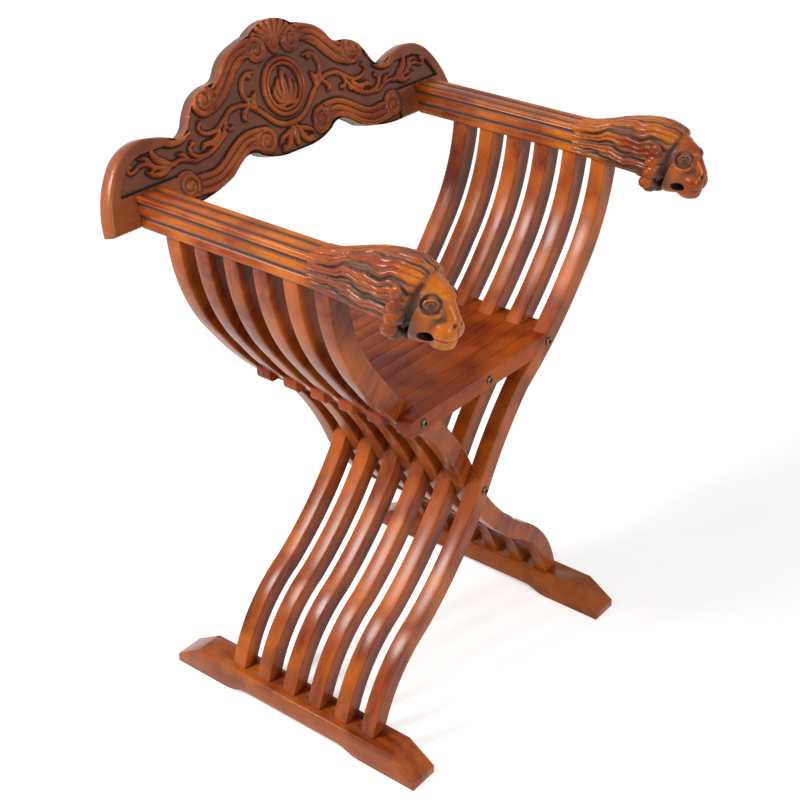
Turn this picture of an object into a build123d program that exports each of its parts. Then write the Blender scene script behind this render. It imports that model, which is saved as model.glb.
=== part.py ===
"""Folding Savonarola armchair: interlaced S-shaped ribs, a folding slatted seat and a lift-off back.

Frame: +X towards the sitter's right arm as seen from the front, -Y is the chair's front, +Z is up,
and Z = 0 is the floor. Everything is modelled about the middle of the rib stack (Y = 0 there), and is
moved at the end so that the origin lies under the middle of the whole chair.
"""
from build123d import *
import os
from math import acos, asin, atan2, cos, hypot, radians, sin

# ---- Ribs and boards: one layer each, front to back ------------------------------------------------
rib_count = 6                # ribs on each side, and boards on each side of the seat
rib_thickness = 22.0         # along Y, the same for ribs and boards
layer_gap = 0.5              # free play between two neighbouring layers
layer_pitch = rib_thickness + layer_gap
stack_depth = 2 * rib_count * layer_pitch
stack_front = -stack_depth / 2

rib_width_foot = 26.0        # across the curve, where the rib meets its runner
rib_width_pivot = 28.0       # from the main pivot to the seat
rib_width_arm = 32.0         # under the armrest

# ---- Heights and spreads ---------------------------------------------------------------------------
pivot_height = 301.0         # main pivot above the floor
seat_pin_height = 467.5      # seat rods above the floor
seat_pin_offset = 137.0      # each seat rod from the middle plane
foot_offset = 217.0          # rib foot from the middle plane
arm_offset = 266.5           # armrest centre line from the middle plane

# ---- Runners ---------------------------------------------------------------------------------------
runner_length = 418.0
runner_width = 45.0
runner_height = 38.0
runner_nose_height = 13.0    # upright part of each end
runner_slope_length = 40.0   # sloped part of each end
runner_pad_length = 88.0     # flat pad that stands on the floor
runner_step_length = 45.0    # ogee from the pad up to the arch
runner_arch = 9.0            # underside above the floor between the pads
runner_edge = 2.0

# ---- Joinery ---------------------------------------------------------------------------------------
tenon_width = 18.0           # along X
tenon_thickness = 14.0       # along Y
tenon_length = 20.0
tenon_fit = 0.15             # gap between a tenon and its mortise, each side
mortise_spare = 1.0          # depth left under a tenon

# ---- Seat boards -----------------------------------------------------------------------------------
board_thickness = 25.0
board_tab = 27.0             # rounded end that stands out past its seat rod
board_tab_radius = 4.0
board_butt_gap = 0.5         # between a board's free end and the rib that stops it

# ---- Rods ------------------------------------------------------------------------------------------
rod_radius = 4.0
rod_fit = 0.1                # radial running clearance of a rod in wood
slot_fit = 0.4               # radial clearance of the right rod in the open slots
head_radius = 6.0
head_height = 2.6
head_chamfer = 0.9
socket_radius = 3.0          # recess in the middle of a rod's head
socket_depth = 1.8
washer_radius = 7.5
washer_thickness = 1.2
nut_radius = 6.0
nut_height = 6.0
nut_chamfer = 1.5
nut_grip = 3.6               # how far the rod's end reaches into the nut

# ---- Folding ---------------------------------------------------------------------------------------
fold_range = 52.0            # degrees between the two rib sets, from open to folded

# ---- Armrests --------------------------------------------------------------------------------------
arm_width = 41.0
arm_height = 39.0
arm_bottom = 688.0
arm_edge = 2.0               # eased corners of the bar
cove_radius = 3.5            # long hollows between the reeds
cove_depth = 2.2
side_coves = (14.0, 29.5)    # middle of each, above the arm's underside
top_coves = (-10.0, 10.0)    # middle of each, from the arm's centre line
cove_end = -85.0             # centre of the coves' scooped stops, where the mane begins

# ---- Lion heads: across from the arm's centre line, back from the nose, above the arm's underside ---
head_reach = 273.0           # tip of the nose in front of the stack's middle
mane_root = 191.0            # where the mane leaves the bar
# Sections of each mass: back from the nose, half width, lowest, highest, corner
mane_sections = (
    (139, 26.0, 0, 50, 9), (105, 31.0, -5, 61, 15), (70, 35.0, -7, 67, 21), (30, 28.0, -4, 58, 19))
ruff_sections = ((84, 27.0, -4, 20, 6), (62, 34.0, -20, 22, 12), (47, 29.0, -19, 22, 10))
face_sections = (
    (68, 27.0, -10, 57, 17), (43, 27.5, -17, 57, 17), (28, 23.5, -26, 46, 11), (20, 17.0, -28, 32, 9),
    (8, 15.0, -24, 21, 7), (0, 9.0, -8, 13, 4))
mane_front = ((33, 62), (56, 0))   # its edge over the face: (back, height) at the top and the bottom
ear_leaf = ((-13, 0), (-2, -6), (11, -4), (13, 2), (3, 7), (-8, 5))   # (along, across) of its outline
ear_place = (24.0, 57, 37)   # middle of the leaf, inside the mane
ear_lean = 68.0              # degrees from the arm's own line
ear_reach = 14.5
ear_taper = 12.0
eye = (14.6, 24.5, 30.5)
eye_radius = 6.0
mouth_corner = (14.0, 28.5, -7)    # floor of the drilled corner of the mouth
mouth_size = (14.8, 8.8)
mouth_lean = 16.0            # degrees
nostril = (5.4, 0, 7.5)
nostril_radius = 1.8
nostril_depth = 3.0

# ---- Back panel ------------------------------------------------------------------------------------
back_rake = 17.8             # degrees that the panel leans back
back_thickness = 20.0
back_gap = 0.3               # between the panel's face and the arms' rear ends
back_half_width = 330.0
back_height = 186.0          # top of the crest above the arms' underside, along the leaning face
back_low = 2.0               # lower edge above the arms' underside, along the leaning face
back_drop = 14.0             # middle of the lower edge above its ends
back_face_y = 167.0          # the arms' rear ends, at the height of the arms' underside
carving_depth = 5.0          # ground below the panel's face
rim_width = 11.0
medallion_height = 99.5      # middle of the oval above the arms' underside
medallion_size = (39.0, 37.5)      # half axes of its raised ring
medallion_ring = 10.5

cleat_width = 13.0           # at its front
cleat_undercut = 4.0         # how much narrower it is at the panel
cleat_depth = 12.0
cleat_lift = 10.0            # its lowest point above the arm's underside
cleat_fit = 0.3

# ---- Values worked out from those above ------------------------------------------------------------
arm_top = arm_bottom + arm_height
rake = radians(back_rake)
hole_radius = rod_radius + rod_fit

pivot = (0.0, pivot_height)
left_pin = (-seat_pin_offset, seat_pin_height)
right_pin = (seat_pin_offset, seat_pin_height)
centre_pin = (0.0, seat_pin_height)


def layer_y(index):
    """Front face of a layer, counted from the front."""
    return stack_front + layer_gap / 2 + index * layer_pitch


def closed_face(*lines):
    """A flat face inside lines that follow one another end to end."""
    return make_face([edge for line in lines for edge in line.edges()])


def layer_solid(sketch):
    """A flat piece that fills one layer, from a sketch of (X, Z) points, with its front at Y = 0."""
    return extrude(Plane.XZ * sketch, amount=rib_thickness, dir=(0, 1, 0))


def drilled(piece, points, radius=hole_radius):
    """Bore holes along Y through a flat piece."""
    for x, z in points:
        piece -= Pos(x, rib_thickness / 2, z) * Rot(90, 0, 0) * Cylinder(radius, 2 * rib_thickness)
    return piece


# ---- Ribs ------------------------------------------------------------------------------------------
def rib_line():
    """Centre line of a right-arm rib: left foot, main pivot, right seat rod, right arm."""
    leg = pivot_height - runner_height
    rise = arm_bottom - seat_pin_height
    reach = arm_offset - seat_pin_offset
    return Spline(
        (-foot_offset - 0.04 * foot_offset, runner_height - 0.07 * leg),
        (-0.885 * foot_offset, runner_height + 0.235 * leg),
        (-0.475 * foot_offset, runner_height + 0.53 * leg),
        pivot,
        (0.44 * seat_pin_offset, pivot_height + 0.61 * (seat_pin_height - pivot_height)),
        right_pin,
        (seat_pin_offset + 0.60 * reach, seat_pin_height + 0.395 * rise),
        (seat_pin_offset + 0.87 * reach, seat_pin_height + 0.665 * rise),
        (arm_offset + 0.01 * reach, arm_bottom + 0.06 * rise),
    )


def rib_width(z):
    """Width across the rib at a height: it swells towards the arm."""
    if z < pivot_height:
        share = max(0.0, (z - runner_height) / (pivot_height - runner_height))
        return rib_width_foot + share * (rib_width_pivot - rib_width_foot)
    share = max(0.0, (z - seat_pin_height) / (arm_bottom - seat_pin_height))
    return rib_width_pivot + share * (rib_width_arm - rib_width_pivot)


def arcs_through(points):
    """Smooth run of arcs, each through three points that follow one another."""
    return [ThreePointArc(*points[first:first + 3]) for first in range(0, len(points) - 2, 2)]


def rib_outline(extra=0.0, stations=11):
    """Both edges of a rib, as arcs beside its centre line. extra widens it on each side."""
    line = rib_line()
    near, far = [], []
    for step in range(stations):
        at = step / (stations - 1)
        point, tangent = line @ at, line % at
        half = rib_width(point.Y) / 2 + extra
        near.append((point.X - tangent.Y * half, point.Y + tangent.X * half))
        far.append((point.X + tangent.Y * half, point.Y - tangent.X * half))
    far.reverse()
    return closed_face(*arcs_through(near), Line(near[-1], far[0]), *arcs_through(far),
                       Line(far[-1], near[0]))


def rib_x_at(height):
    """Where the centre line crosses a height near one of its ends."""
    line = rib_line()
    low, high = 0.0, 1.0
    for _ in range(40):
        middle = (low + high) / 2
        if (line @ middle).Y < height:
            low = middle
        else:
            high = middle
    return (line @ low).X


foot_x = rib_x_at(runner_height)
top_x = rib_x_at(arm_bottom)


def tenon(x, z, extra=0.0, spare=0.0):
    """A tenon, or with extra and spare the mortise for it. z is its middle."""
    size = (tenon_width + 2 * extra, tenon_thickness + 2 * extra, tenon_length + 2 * spare)
    return Pos(x, rib_thickness / 2, z) * Box(*size)


foot_tenon_z = runner_height - tenon_length / 2
top_tenon_z = arm_bottom + tenon_length / 2


def make_rib():
    """A right-arm rib with its shoulders, tenons and rod holes, front face at Y = 0."""
    body = layer_solid(rib_outline())
    between = Pos(0, rib_thickness / 2, (runner_height + arm_bottom) / 2)
    body = body & between * Box(4 * arm_offset, 2 * rib_thickness, arm_bottom - runner_height)
    body += tenon(foot_x, foot_tenon_z)
    body += tenon(top_x, top_tenon_z)
    return drilled(body, [pivot, right_pin])


# ---- Seat boards -----------------------------------------------------------------------------------
pin_reach = hypot(seat_pin_offset, seat_pin_height - pivot_height)
open_angle = atan2(seat_pin_offset, seat_pin_height - pivot_height)
half_fold = radians(fold_range) / 2
board_rise = acos(sin(open_angle - half_fold) / sin(open_angle))
rise_ratio = board_rise / half_fold    # a board's turn for each turn of one rib set


def rod_path(share):
    """The right rod's place beside its seat in a right board, for a share of the fold.

    The first number is the way towards the seat's middle, the second is up from the board's axis.
    """
    turn = share * half_fold
    rise = rise_ratio * turn
    apart = 2 * (seat_pin_offset * cos(rise) - pin_reach * sin(open_angle - turn))
    return apart * cos(rise), -apart * sin(rise)


def rod_slot():
    """Slot in a right board, open below: the rod leaves along it while the chair folds."""
    reach = rod_radius + slot_fit
    below = -board_thickness
    shares = [0.08, 0.16, 0.24, 0.32, 0.40]
    crest = []
    for share in shares:
        here, ahead = rod_path(share), rod_path(share + 0.01)
        way = Vector(ahead[0] - here[0], ahead[1] - here[1]).normalized()
        crest.append((here[0] - way.Y * reach, here[1] + way.X * reach))
    furthest = max(x for x, _ in crest)
    outline = [
        ThreePointArc((-reach, 0), (-reach * sin(radians(45)), reach * sin(radians(45))), (0, reach)),
        Spline((0, reach), *crest),
        Line(crest[-1], (furthest, below)),
        Line((furthest, below), (-reach, below)),
        Line((-reach, below), (-reach, 0)),
    ]
    face = closed_face(*outline)
    return Pos(seat_pin_offset, seat_pin_height) * mirror(face, about=Plane.YZ)


def board_outline():
    """A left board: rounded tab past its rod, and a free end shaped to the rib that stops it."""
    length = 2 * seat_pin_offset + board_tab
    sketch = Pos(-board_tab / 2, seat_pin_height) * Rectangle(length, board_thickness)
    tab_corners = sketch.vertices().sort_by(Axis.X)[:2]
    sketch = fillet(tab_corners, board_tab_radius)
    return sketch - rib_outline(board_butt_gap)


def make_left_board():
    """A board hung on the left rod."""
    return drilled(layer_solid(board_outline()), [left_pin, centre_pin])


def make_right_board():
    """A left board's mirror image, with the open slot in place of the hole at its rod."""
    outline = mirror(board_outline(), about=Plane.YZ) - rod_slot()
    return drilled(layer_solid(outline), [centre_pin])


# ---- Runners ---------------------------------------------------------------------------------------
def make_runner(first_layer):
    """Foot rail under the left feet, mortised from a layer on, with an arched underside."""
    half = runner_length / 2
    step_start = half - runner_pad_length
    step_end = step_start - runner_step_length
    bend = runner_step_length / 2
    side = [
        (-half, 0), (-half, runner_nose_height), (-half + runner_slope_length, runner_height),
        (half - runner_slope_length, runner_height), (half, runner_nose_height), (half, 0),
        (step_start, 0),
    ]
    outline = [
        Polyline(*side),
        Bezier((step_start, 0), (step_start - bend, 0), (step_start - bend, runner_arch),
               (step_end, runner_arch)),
        Line((step_end, runner_arch), (-step_end, runner_arch)),
        Bezier((-step_end, runner_arch), (bend - step_start, runner_arch), (bend - step_start, 0),
               (-step_start, 0)),
        Line((-step_start, 0), (-half, 0)),
    ]
    rail = extrude(Plane.YZ * closed_face(*outline), amount=runner_width / 2, both=True)
    top_edges = [e for e in rail.edges() if e.center().Z > runner_nose_height
                 and abs(e.center().X) > runner_width / 2 - 1]
    rail = Pos(foot_x, 0, 0) * chamfer(top_edges, runner_edge)
    for index in range(first_layer, 2 * rib_count, 2):
        rail -= Pos(0, layer_y(index), 0) * tenon(foot_x, foot_tenon_z, tenon_fit, mortise_spare)
    return rail


# ---- Back panel ------------------------------------------------------------------------------------
def back_plane(offset=0.0):
    """Plane of the panel's face: X across, Y up the leaning face, Z towards the front."""
    origin = Vector(0, back_face_y, arm_bottom)
    normal = Vector(0, -cos(rake), sin(rake))
    return Plane(origin=origin - normal * (back_gap - offset), x_dir=(1, 0, 0), z_dir=normal)


def back_outline(inset=0.0):
    """The board's outline, its right half drawn and mirrored. inset draws it inside its own rim."""
    narrow = (back_half_width - inset) / back_half_width
    crown = back_height - inset
    low = back_low + inset
    crest = [
        (0, crown), (22, crown - 4), (40, crown - 13), (58, crown - 17), (76, crown - 23),
        (91, crown - 32), (101, crown - 43), (109, crown - 51), (119, crown - 54),
        (139, crown - 57), (156, crown - 66), (164, crown - 75), (171, crown - 85),
        (181, crown - 98), (196, crown - 103), (220, crown - 94), (245, crown - 89),
        (272, crown - 92), (295, crown - 105), (315, crown - 131), (back_half_width, low),
    ]
    swag = [
        (196, low), (160, low + 4), (124, low + 14), (112, low + 22), (100, low + 29), (84, low + 32),
        (68, low + 25), (45, low + 17), (22, low + back_drop), (0, low + back_drop),
    ]
    crest, swag = [[(x * narrow, z) for x, z in points] for points in (crest, swag)]
    right = [*arcs_through(crest), Line(crest[-1], swag[0]), *arcs_through(swag[:-1]),
             Line(swag[-2], swag[-1])]
    return closed_face(*right, *[mirror(line, about=Plane.YZ) for line in right])


def cleat(fit=0.0, rise=0.0):
    """Half dovetail on the panel's face that drops into the right arm's outer rear corner.

    fit widens it for the arm's notch, and rise carries the notch out at the top and the side.
    """
    outer = arm_offset + arm_width / 2 + rise
    top = arm_height / cos(rake) + rise
    faces = []
    for height, width in ((0, cleat_width - cleat_undercut), (cleat_depth, cleat_width)):
        inner = arm_offset + arm_width / 2 - width - fit
        low = cleat_lift - fit
        step = outer - inner
        points = [(inner, low + step - rise), (outer, low - rise), (outer, top), (inner, top)]
        section = make_face(Polyline(*points, close=True))
        faces.append(back_plane(height + fit * height / cleat_depth) * section)
    return loft(faces, ruled=True)


def make_back_panel():
    """Raked board with a raised rim round its carved ground, an oval medallion and two cleats."""
    board = extrude(back_plane() * back_outline(), amount=-back_thickness)
    ground = extrude(back_plane() * back_outline(rim_width), amount=-carving_depth)
    inner_size = [half - medallion_ring for half in medallion_size]
    medallion = Pos(0, medallion_height) * (Ellipse(*medallion_size) - Ellipse(*inner_size))
    boss = extrude(back_plane(-carving_depth) * medallion, amount=carving_depth)
    moulded_cleat = cleat() - arm_coves()
    return board - ground + boss + moulded_cleat + mirror(moulded_cleat, about=Plane.YZ)


# ---- Armrests --------------------------------------------------------------------------------------
def arm_coves():
    """The hollows along the right arm's bar, each with a scooped stop in front."""
    out = cove_radius - cove_depth
    places = [(side * (arm_width / 2 + out), height) for side in (-1, 1) for height in side_coves]
    places += [(across, arm_height + out) for across in top_coves]
    length = back_face_y + arm_height - cove_end
    hollow = Pos(0, length / 2, 0) * Rot(90, 0, 0) * Cylinder(cove_radius, length) + Sphere(cove_radius)
    return [Pos(arm_offset + across, cove_end, arm_bottom + height) * hollow for across, height in places]


def at_head(across, back, height):
    """A place on the right arm's head."""
    return Vector(arm_offset + across, back - head_reach, arm_bottom + height)


def head_section(back, half_width, low, high, corner):
    """Section of the head with its corners cut off."""
    plane = Plane(origin=at_head(0, back, (low + high) / 2), x_dir=(1, 0, 0), z_dir=(0, -1, 0))
    return plane * chamfer(Rectangle(2 * half_width, high - low).vertices(), corner)


def mass(sections):
    """One mass of the head, straight from section to section."""
    return loft([head_section(*values) for values in sections], ruled=True)


def make_mane():
    """The mane and the curls under it, cut off at the slanting edge over the face."""
    root = (mane_root, arm_width / 2, 0, arm_height, arm_edge)
    mane = mass((root, *mane_sections)) + mass(ruff_sections)
    (top, high), (bottom, low) = mane_front
    way = Vector(0, low - high, top - bottom)
    before = Plane(origin=at_head(0, bottom, low), x_dir=(1, 0, 0), z_dir=way)
    size = 4 * arm_width
    return mane - before * Pos(0, 0, size / 2) * Box(size, 2 * size, size)


def on_side(side, place, lean):
    """Plane on one side of the head at a place, facing outwards, its X turned up from the arm's line."""
    across, back, height = place
    along = (0, cos(radians(lean)), sin(radians(lean)))
    return Plane(origin=at_head(side * across, back, height), x_dir=along, z_dir=(side, 0, 0))


def make_lion_head():
    """Skull, brow, muzzle, mouth, nose, eyes, ears and mane, before the carver's fine work."""
    face = mass(face_sections)
    leaf = Polygon(*ear_leaf, align=None)
    for side in (-1, 1):
        mouth = on_side(side, mouth_corner, mouth_lean)
        face -= extrude(mouth * SlotOverall(*mouth_size), amount=arm_width)
        across, back, height = nostril
        hole = Rot(90, 0, 0) * Cylinder(nostril_radius, 2 * nostril_depth)
        face -= Pos(at_head(side * across, back, height)) * hole
        across, back, height = eye
        face += Pos(at_head(side * across, back, height)) * Sphere(eye_radius)
    ear = extrude(on_side(1, ear_place, -ear_lean) * leaf, amount=ear_reach, taper=ear_taper)
    other_ear = Pos(2 * arm_offset, 0, 0) * mirror(ear, about=Plane.YZ)
    return face + make_mane() + ear + other_ear


def make_arm(first_layer):
    """Right armrest: moulded bar, lion's head, mortises from a layer on, and the back's notch."""
    front = mane_root - head_reach
    rear = back_face_y + arm_height
    section = Pos(0, arm_height / 2) * RectangleRounded(arm_width, arm_height, arm_edge)
    bar = extrude(Plane.XZ * section, amount=rear - front, dir=(0, 1, 0))
    bar = Pos(arm_offset, front, arm_bottom) * bar
    behind = back_plane(back_gap) * Pos(0, 0, -2 * arm_height)
    bar -= behind * Pos(arm_offset, 0, 0) * Box(4 * arm_width, 4 * arm_height, 4 * arm_height)
    arm = bar + make_lion_head()
    arm -= arm_coves()
    arm -= cleat(cleat_fit, 2 * arm_height)
    for index in range(first_layer, 2 * rib_count, 2):
        arm -= Pos(0, layer_y(index), 0) * tenon(top_x, top_tenon_z, tenon_fit, mortise_spare)
    return arm


# ---- Rods, washers and nuts ------------------------------------------------------------------------
def along_y(profile):
    """Turn a profile of (radius, distance along the rod) points about the rod's own axis."""
    return revolve(make_face(Polyline(*profile, close=True)), Axis.Y)


def make_rod():
    """Steel rod with a recessed head in front, as long as the stack, its washer and most of its nut."""
    start = stack_front + layer_gap / 2
    face = start - head_height
    end = start + stack_depth - layer_gap + washer_thickness + nut_grip
    return along_y([
        (0, face + socket_depth), (socket_radius, face + socket_depth), (socket_radius, face),
        (head_radius - head_chamfer, face), (head_radius, face + head_chamfer), (head_radius, start),
        (rod_radius, start), (rod_radius, end), (0, end)])


def make_washer():
    """Flat ring between the last layer and the nut."""
    start = stack_front + stack_depth - layer_gap / 2
    ring = Circle(washer_radius) - Circle(hole_radius)
    return Pos(0, start, 0) * extrude(Plane.XZ * ring, amount=washer_thickness, dir=(0, 1, 0))


def make_nut():
    """Cap nut with a blind hole that the rod's end fills."""
    start = stack_front + stack_depth - layer_gap / 2 + washer_thickness
    end = start + nut_height
    floor = start + nut_grip + rod_fit
    return along_y([
        (hole_radius, start), (nut_radius, start), (nut_radius, end - nut_chamfer),
        (nut_radius - nut_chamfer, end), (0, end), (0, floor), (hole_radius, floor)])


def at_pin(piece, pin):
    """Carry a piece made on the Y axis to a rod's place."""
    return Pos(pin[0], 0, pin[1]) * piece


# ---- The whole chair -------------------------------------------------------------------------------
def make_chair():
    """Every sub-part by name, still about the middle of the rib stack."""
    chair = {}
    rib = make_rib()
    left_board, right_board = make_left_board(), make_right_board()
    for number in range(rib_count):
        front_layer, rear_layer = layer_y(2 * number), layer_y(2 * number + 1)
        name = str(number + 1)
        chair["right_arm_rib_" + name] = Pos(0, front_layer, 0) * rib
        chair["left_arm_rib_" + name] = Pos(0, rear_layer, 0) * mirror(rib, about=Plane.YZ)
        chair["seat_board_left_" + name] = Pos(0, front_layer, 0) * left_board
        chair["seat_board_right_" + name] = Pos(0, rear_layer, 0) * right_board

    chair["left_runner"] = make_runner(0)
    chair["right_runner"] = mirror(make_runner(1), about=Plane.YZ)
    chair["right_armrest"] = make_arm(0)
    chair["left_armrest"] = mirror(make_arm(1), about=Plane.YZ)
    chair["back_panel"] = make_back_panel()

    rod, washer, nut = make_rod(), make_washer(), make_nut()
    chair["main_pivot_rod"] = at_pin(rod, pivot)
    chair["right_seat_rod"] = at_pin(rod, right_pin)
    chair["left_seat_rod"] = at_pin(rod, left_pin)
    chair["centre_seat_rod"] = at_pin(rod, centre_pin)
    chair["frame_rod_washers"] = Compound([at_pin(washer, pivot), at_pin(washer, right_pin)])
    chair["frame_rod_nuts"] = Compound([at_pin(nut, pivot), at_pin(nut, right_pin)])
    chair["left_seat_rod_washer"] = at_pin(washer, left_pin)
    chair["left_seat_rod_nut"] = at_pin(nut, left_pin)
    chair["centre_seat_rod_washer"] = at_pin(washer, centre_pin)
    chair["centre_seat_rod_nut"] = at_pin(nut, centre_pin)
    return chair


def main():
    """Write one STEP file for each sub-part, with the origin under the middle of the chair."""
    chair = make_chair()
    front = chair["right_armrest"].bounding_box().min.Y
    rear = chair["back_panel"].bounding_box().max.Y
    to_origin = Pos(0, -(front + rear) / 2, 0)
    os.makedirs("parts", exist_ok=True)
    for name, piece in chair.items():
        export_step(to_origin * piece, f"parts/{name}.step")


if __name__ == "__main__":
    main()
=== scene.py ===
"""Finishes a folding Savonarola armchair: lacquered ribs and boards, lion-head arms, carved back, rods."""

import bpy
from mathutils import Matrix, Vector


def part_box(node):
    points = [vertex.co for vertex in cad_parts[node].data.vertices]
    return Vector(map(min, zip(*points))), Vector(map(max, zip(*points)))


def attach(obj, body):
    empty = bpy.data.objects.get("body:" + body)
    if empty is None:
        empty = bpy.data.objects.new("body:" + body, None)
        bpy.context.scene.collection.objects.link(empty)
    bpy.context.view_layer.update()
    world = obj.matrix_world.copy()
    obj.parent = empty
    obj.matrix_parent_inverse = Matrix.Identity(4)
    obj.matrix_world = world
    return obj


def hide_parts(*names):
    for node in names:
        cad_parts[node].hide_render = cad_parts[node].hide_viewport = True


bl_info = {
    "name": "Folding Savonarola Armchair",
    "version": (1, 0, 0),
    "blender": (4, 5, 0),
    "location": "3D View > Sidebar > Armchair",
    "description": "Lacquered wood, carving and metalwork for a folding armchair of interlaced ribs",
    "category": "Add Mesh",
}

from math import cos, pi, radians, sin, tan

import bmesh
import bpy
import numpy as np
from mathutils import Matrix, Vector
from mathutils.geometry import tessellate_polygon

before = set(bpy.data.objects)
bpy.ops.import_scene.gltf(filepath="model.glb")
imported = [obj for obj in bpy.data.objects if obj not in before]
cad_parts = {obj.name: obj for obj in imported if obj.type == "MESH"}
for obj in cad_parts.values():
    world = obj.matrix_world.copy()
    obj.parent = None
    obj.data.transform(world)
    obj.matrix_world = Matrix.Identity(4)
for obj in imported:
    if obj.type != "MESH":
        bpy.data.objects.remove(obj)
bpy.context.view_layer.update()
MM = 0.001
RIBS = 6                     # ribs, and seat boards, of one side
SAME_PLACE = 1e-6            # metres within which two corners of a CAD mesh are one
SHARP, SHARP_BOARD, SHARP_CARVED = 32, 15, 50      # angles in degrees above which an edge looks sharp
BOARD_END = 9.0              # rounding of the left seat boards' outer ends, in millimetres
TENON_CLEAR = 2.0            # a runner's edges stay sharp this near a rib's foot

# The middle of the rib stack, which the camera and the arms are placed from.
STACK_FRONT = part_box("right_arm_rib_1")[0].y / MM
STACK_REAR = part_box("left_arm_rib_6")[1].y / MM
STACK_MIDDLE = (STACK_FRONT + STACK_REAR) / 2
LAYER_STEP = (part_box("right_arm_rib_2")[0].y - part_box("right_arm_rib_1")[0].y) / MM


# ---- Settings a user would change ------------------------------------------------------------------
def linear(hex_colour):
    """An sRGB hex colour as linear RGBA."""
    parts = [int(hex_colour[i:i + 2], 16) / 255 for i in (1, 3, 5)]
    return [c / 12.92 if c <= 0.04045 else ((c + 0.055) / 1.055) ** 2.4 for c in parts] + [1.0]


# Beech under a clear red-brown lacquer: its dark, middle and light grain in each group of pieces.
TONES = ("dark", "middle", "light")
GRAIN = {
    "ribs": ("#6E280F", "#98451A", "#B45B1C"),
    "seat": ("#641D05", "#93380D", "#AA4C10"),
    "rails": ("#742F10", "#9C481C", "#B05C20"),
    "arms": ("#7C2C0A", "#A6480C", "#BE6412"),
    "back": ("#7C3014", "#A34A1F", "#B65C24"),
}
COLOURS = {f"{group}_{tone}": (f"{group.capitalize()}, {tone} grain", paint)
           for group, paints in GRAIN.items() for tone, paint in zip(TONES, paints)}
COLOURS |= {
    "fibres": ("Fibres", "#3A160B"),
    # the two colours of the hollows are partly staining and partly painted shade; the deeper one paints the
    # shade of holes and deep cuts nearly black
    "stain": ("Stain in hollows", "#5B3B2D"),
    "deep_stain": ("Stain in deep cuts", "#1C0D08"),
    "steel": ("Bronzed steel", "#4A3D30"),
    "rubbed_steel": ("Rubbed steel", "#8C7A5E"),
}


class ChairSizes(bpy.types.PropertyGroup):
    """Sizes of the finished edges and carving."""
    rib_ease: bpy.props.FloatProperty(
        name="Rib edge", description="Rounding of the ribs' long edges", default=2.0 * MM, unit="LENGTH")
    board_ease: bpy.props.FloatProperty(
        name="Board edge", description="Rounding of the seat boards' edges", default=0.8 * MM, unit="LENGTH")
    runner_ease: bpy.props.FloatProperty(
        name="Runner edge", description="Rounding of the runners' edges", default=1.8 * MM, unit="LENGTH")
    head_grid: bpy.props.FloatProperty(
        name="Head detail", description="Cell of the lion heads' carving", default=1.2 * MM, unit="LENGTH")
    relief_grid: bpy.props.FloatProperty(
        name="Relief detail", description="Cell of the back's carving", default=1.05 * MM, unit="LENGTH")


class ChairColours(bpy.types.PropertyGroup):
    """Colours of the beech, of the staining and painted shade in its carving, and of the steel."""
    __annotations__ = {name: bpy.props.FloatVectorProperty(
        name=label, description=f"Colour: {label.lower()}", default=linear(paint), size=4, min=0, max=1,
        subtype="COLOR") for name, (label, paint) in COLOURS.items()}


class ChairView(bpy.types.PropertyGroup):
    """Camera of the stage."""
    azimuth: bpy.props.FloatProperty(
        name="Azimuth", description="Camera's turn about the chair", default=radians(-53.65), subtype="ANGLE")
    elevation: bpy.props.FloatProperty(
        name="Elevation", description="Camera's height angle", default=radians(28.634), subtype="ANGLE")
    roll: bpy.props.FloatProperty(
        name="Roll", description="Camera's tilt about its own axis", default=radians(1.194), subtype="ANGLE")
    distance: bpy.props.FloatProperty(
        name="Distance", description="Camera to the chair's middle", default=1.97833, unit="LENGTH")
    lens: bpy.props.FloatProperty(
        name="Focal length", description="Lens of the camera", default=68.307, unit="CAMERA")


# ---- Materials -------------------------------------------------------------------------------------
def add(tree, kind, settings=None, sockets=None):
    """Add a node. Each socket, by name or number, takes a value or another node's output."""
    node = tree.nodes.new(kind)
    for name, value in (settings or {}).items():
        setattr(node, name, value)
    for name, value in (sockets or {}).items():
        if isinstance(value, bpy.types.NodeSocket):
            tree.links.new(value, node.inputs[name])
        else:
            node.inputs[name].default_value = value
    return node


def per_mm(size):
    """Texture scale that repeats about once in a size in millimetres, on coordinates in metres."""
    return 1 / (size * MM)


def empty_material(name):
    """A new material and its node tree, without nodes."""
    material = bpy.data.materials.new(name)
    material.use_nodes = True
    material.node_tree.nodes.clear()
    return material, material.node_tree


def layered(tree, colour, layers):
    """A colour with others over it: (level, where it is none, where it is most, most, colour, blend)."""
    for level, none, full, most, paint, blend in layers:
        share = add(tree, "ShaderNodeMapRange", {}, {
            "Value": level, "From Min": none, "From Max": full, "To Min": 0.0, "To Max": most})
        # a Mix node has a socket named A for each kind of value; 6 and 7 are its colours
        colour = add(tree, "ShaderNodeMix", {"data_type": "RGBA", "blend_type": blend},
                     {0: share.outputs[0], 6: colour, 7: paint}).outputs[2]
    return colour


LACQUER = (0.22, 0.32)       # roughness of the lacquer from place to place
HOLLOWS = 0.45               # how much rougher it is in deep hollows


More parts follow.
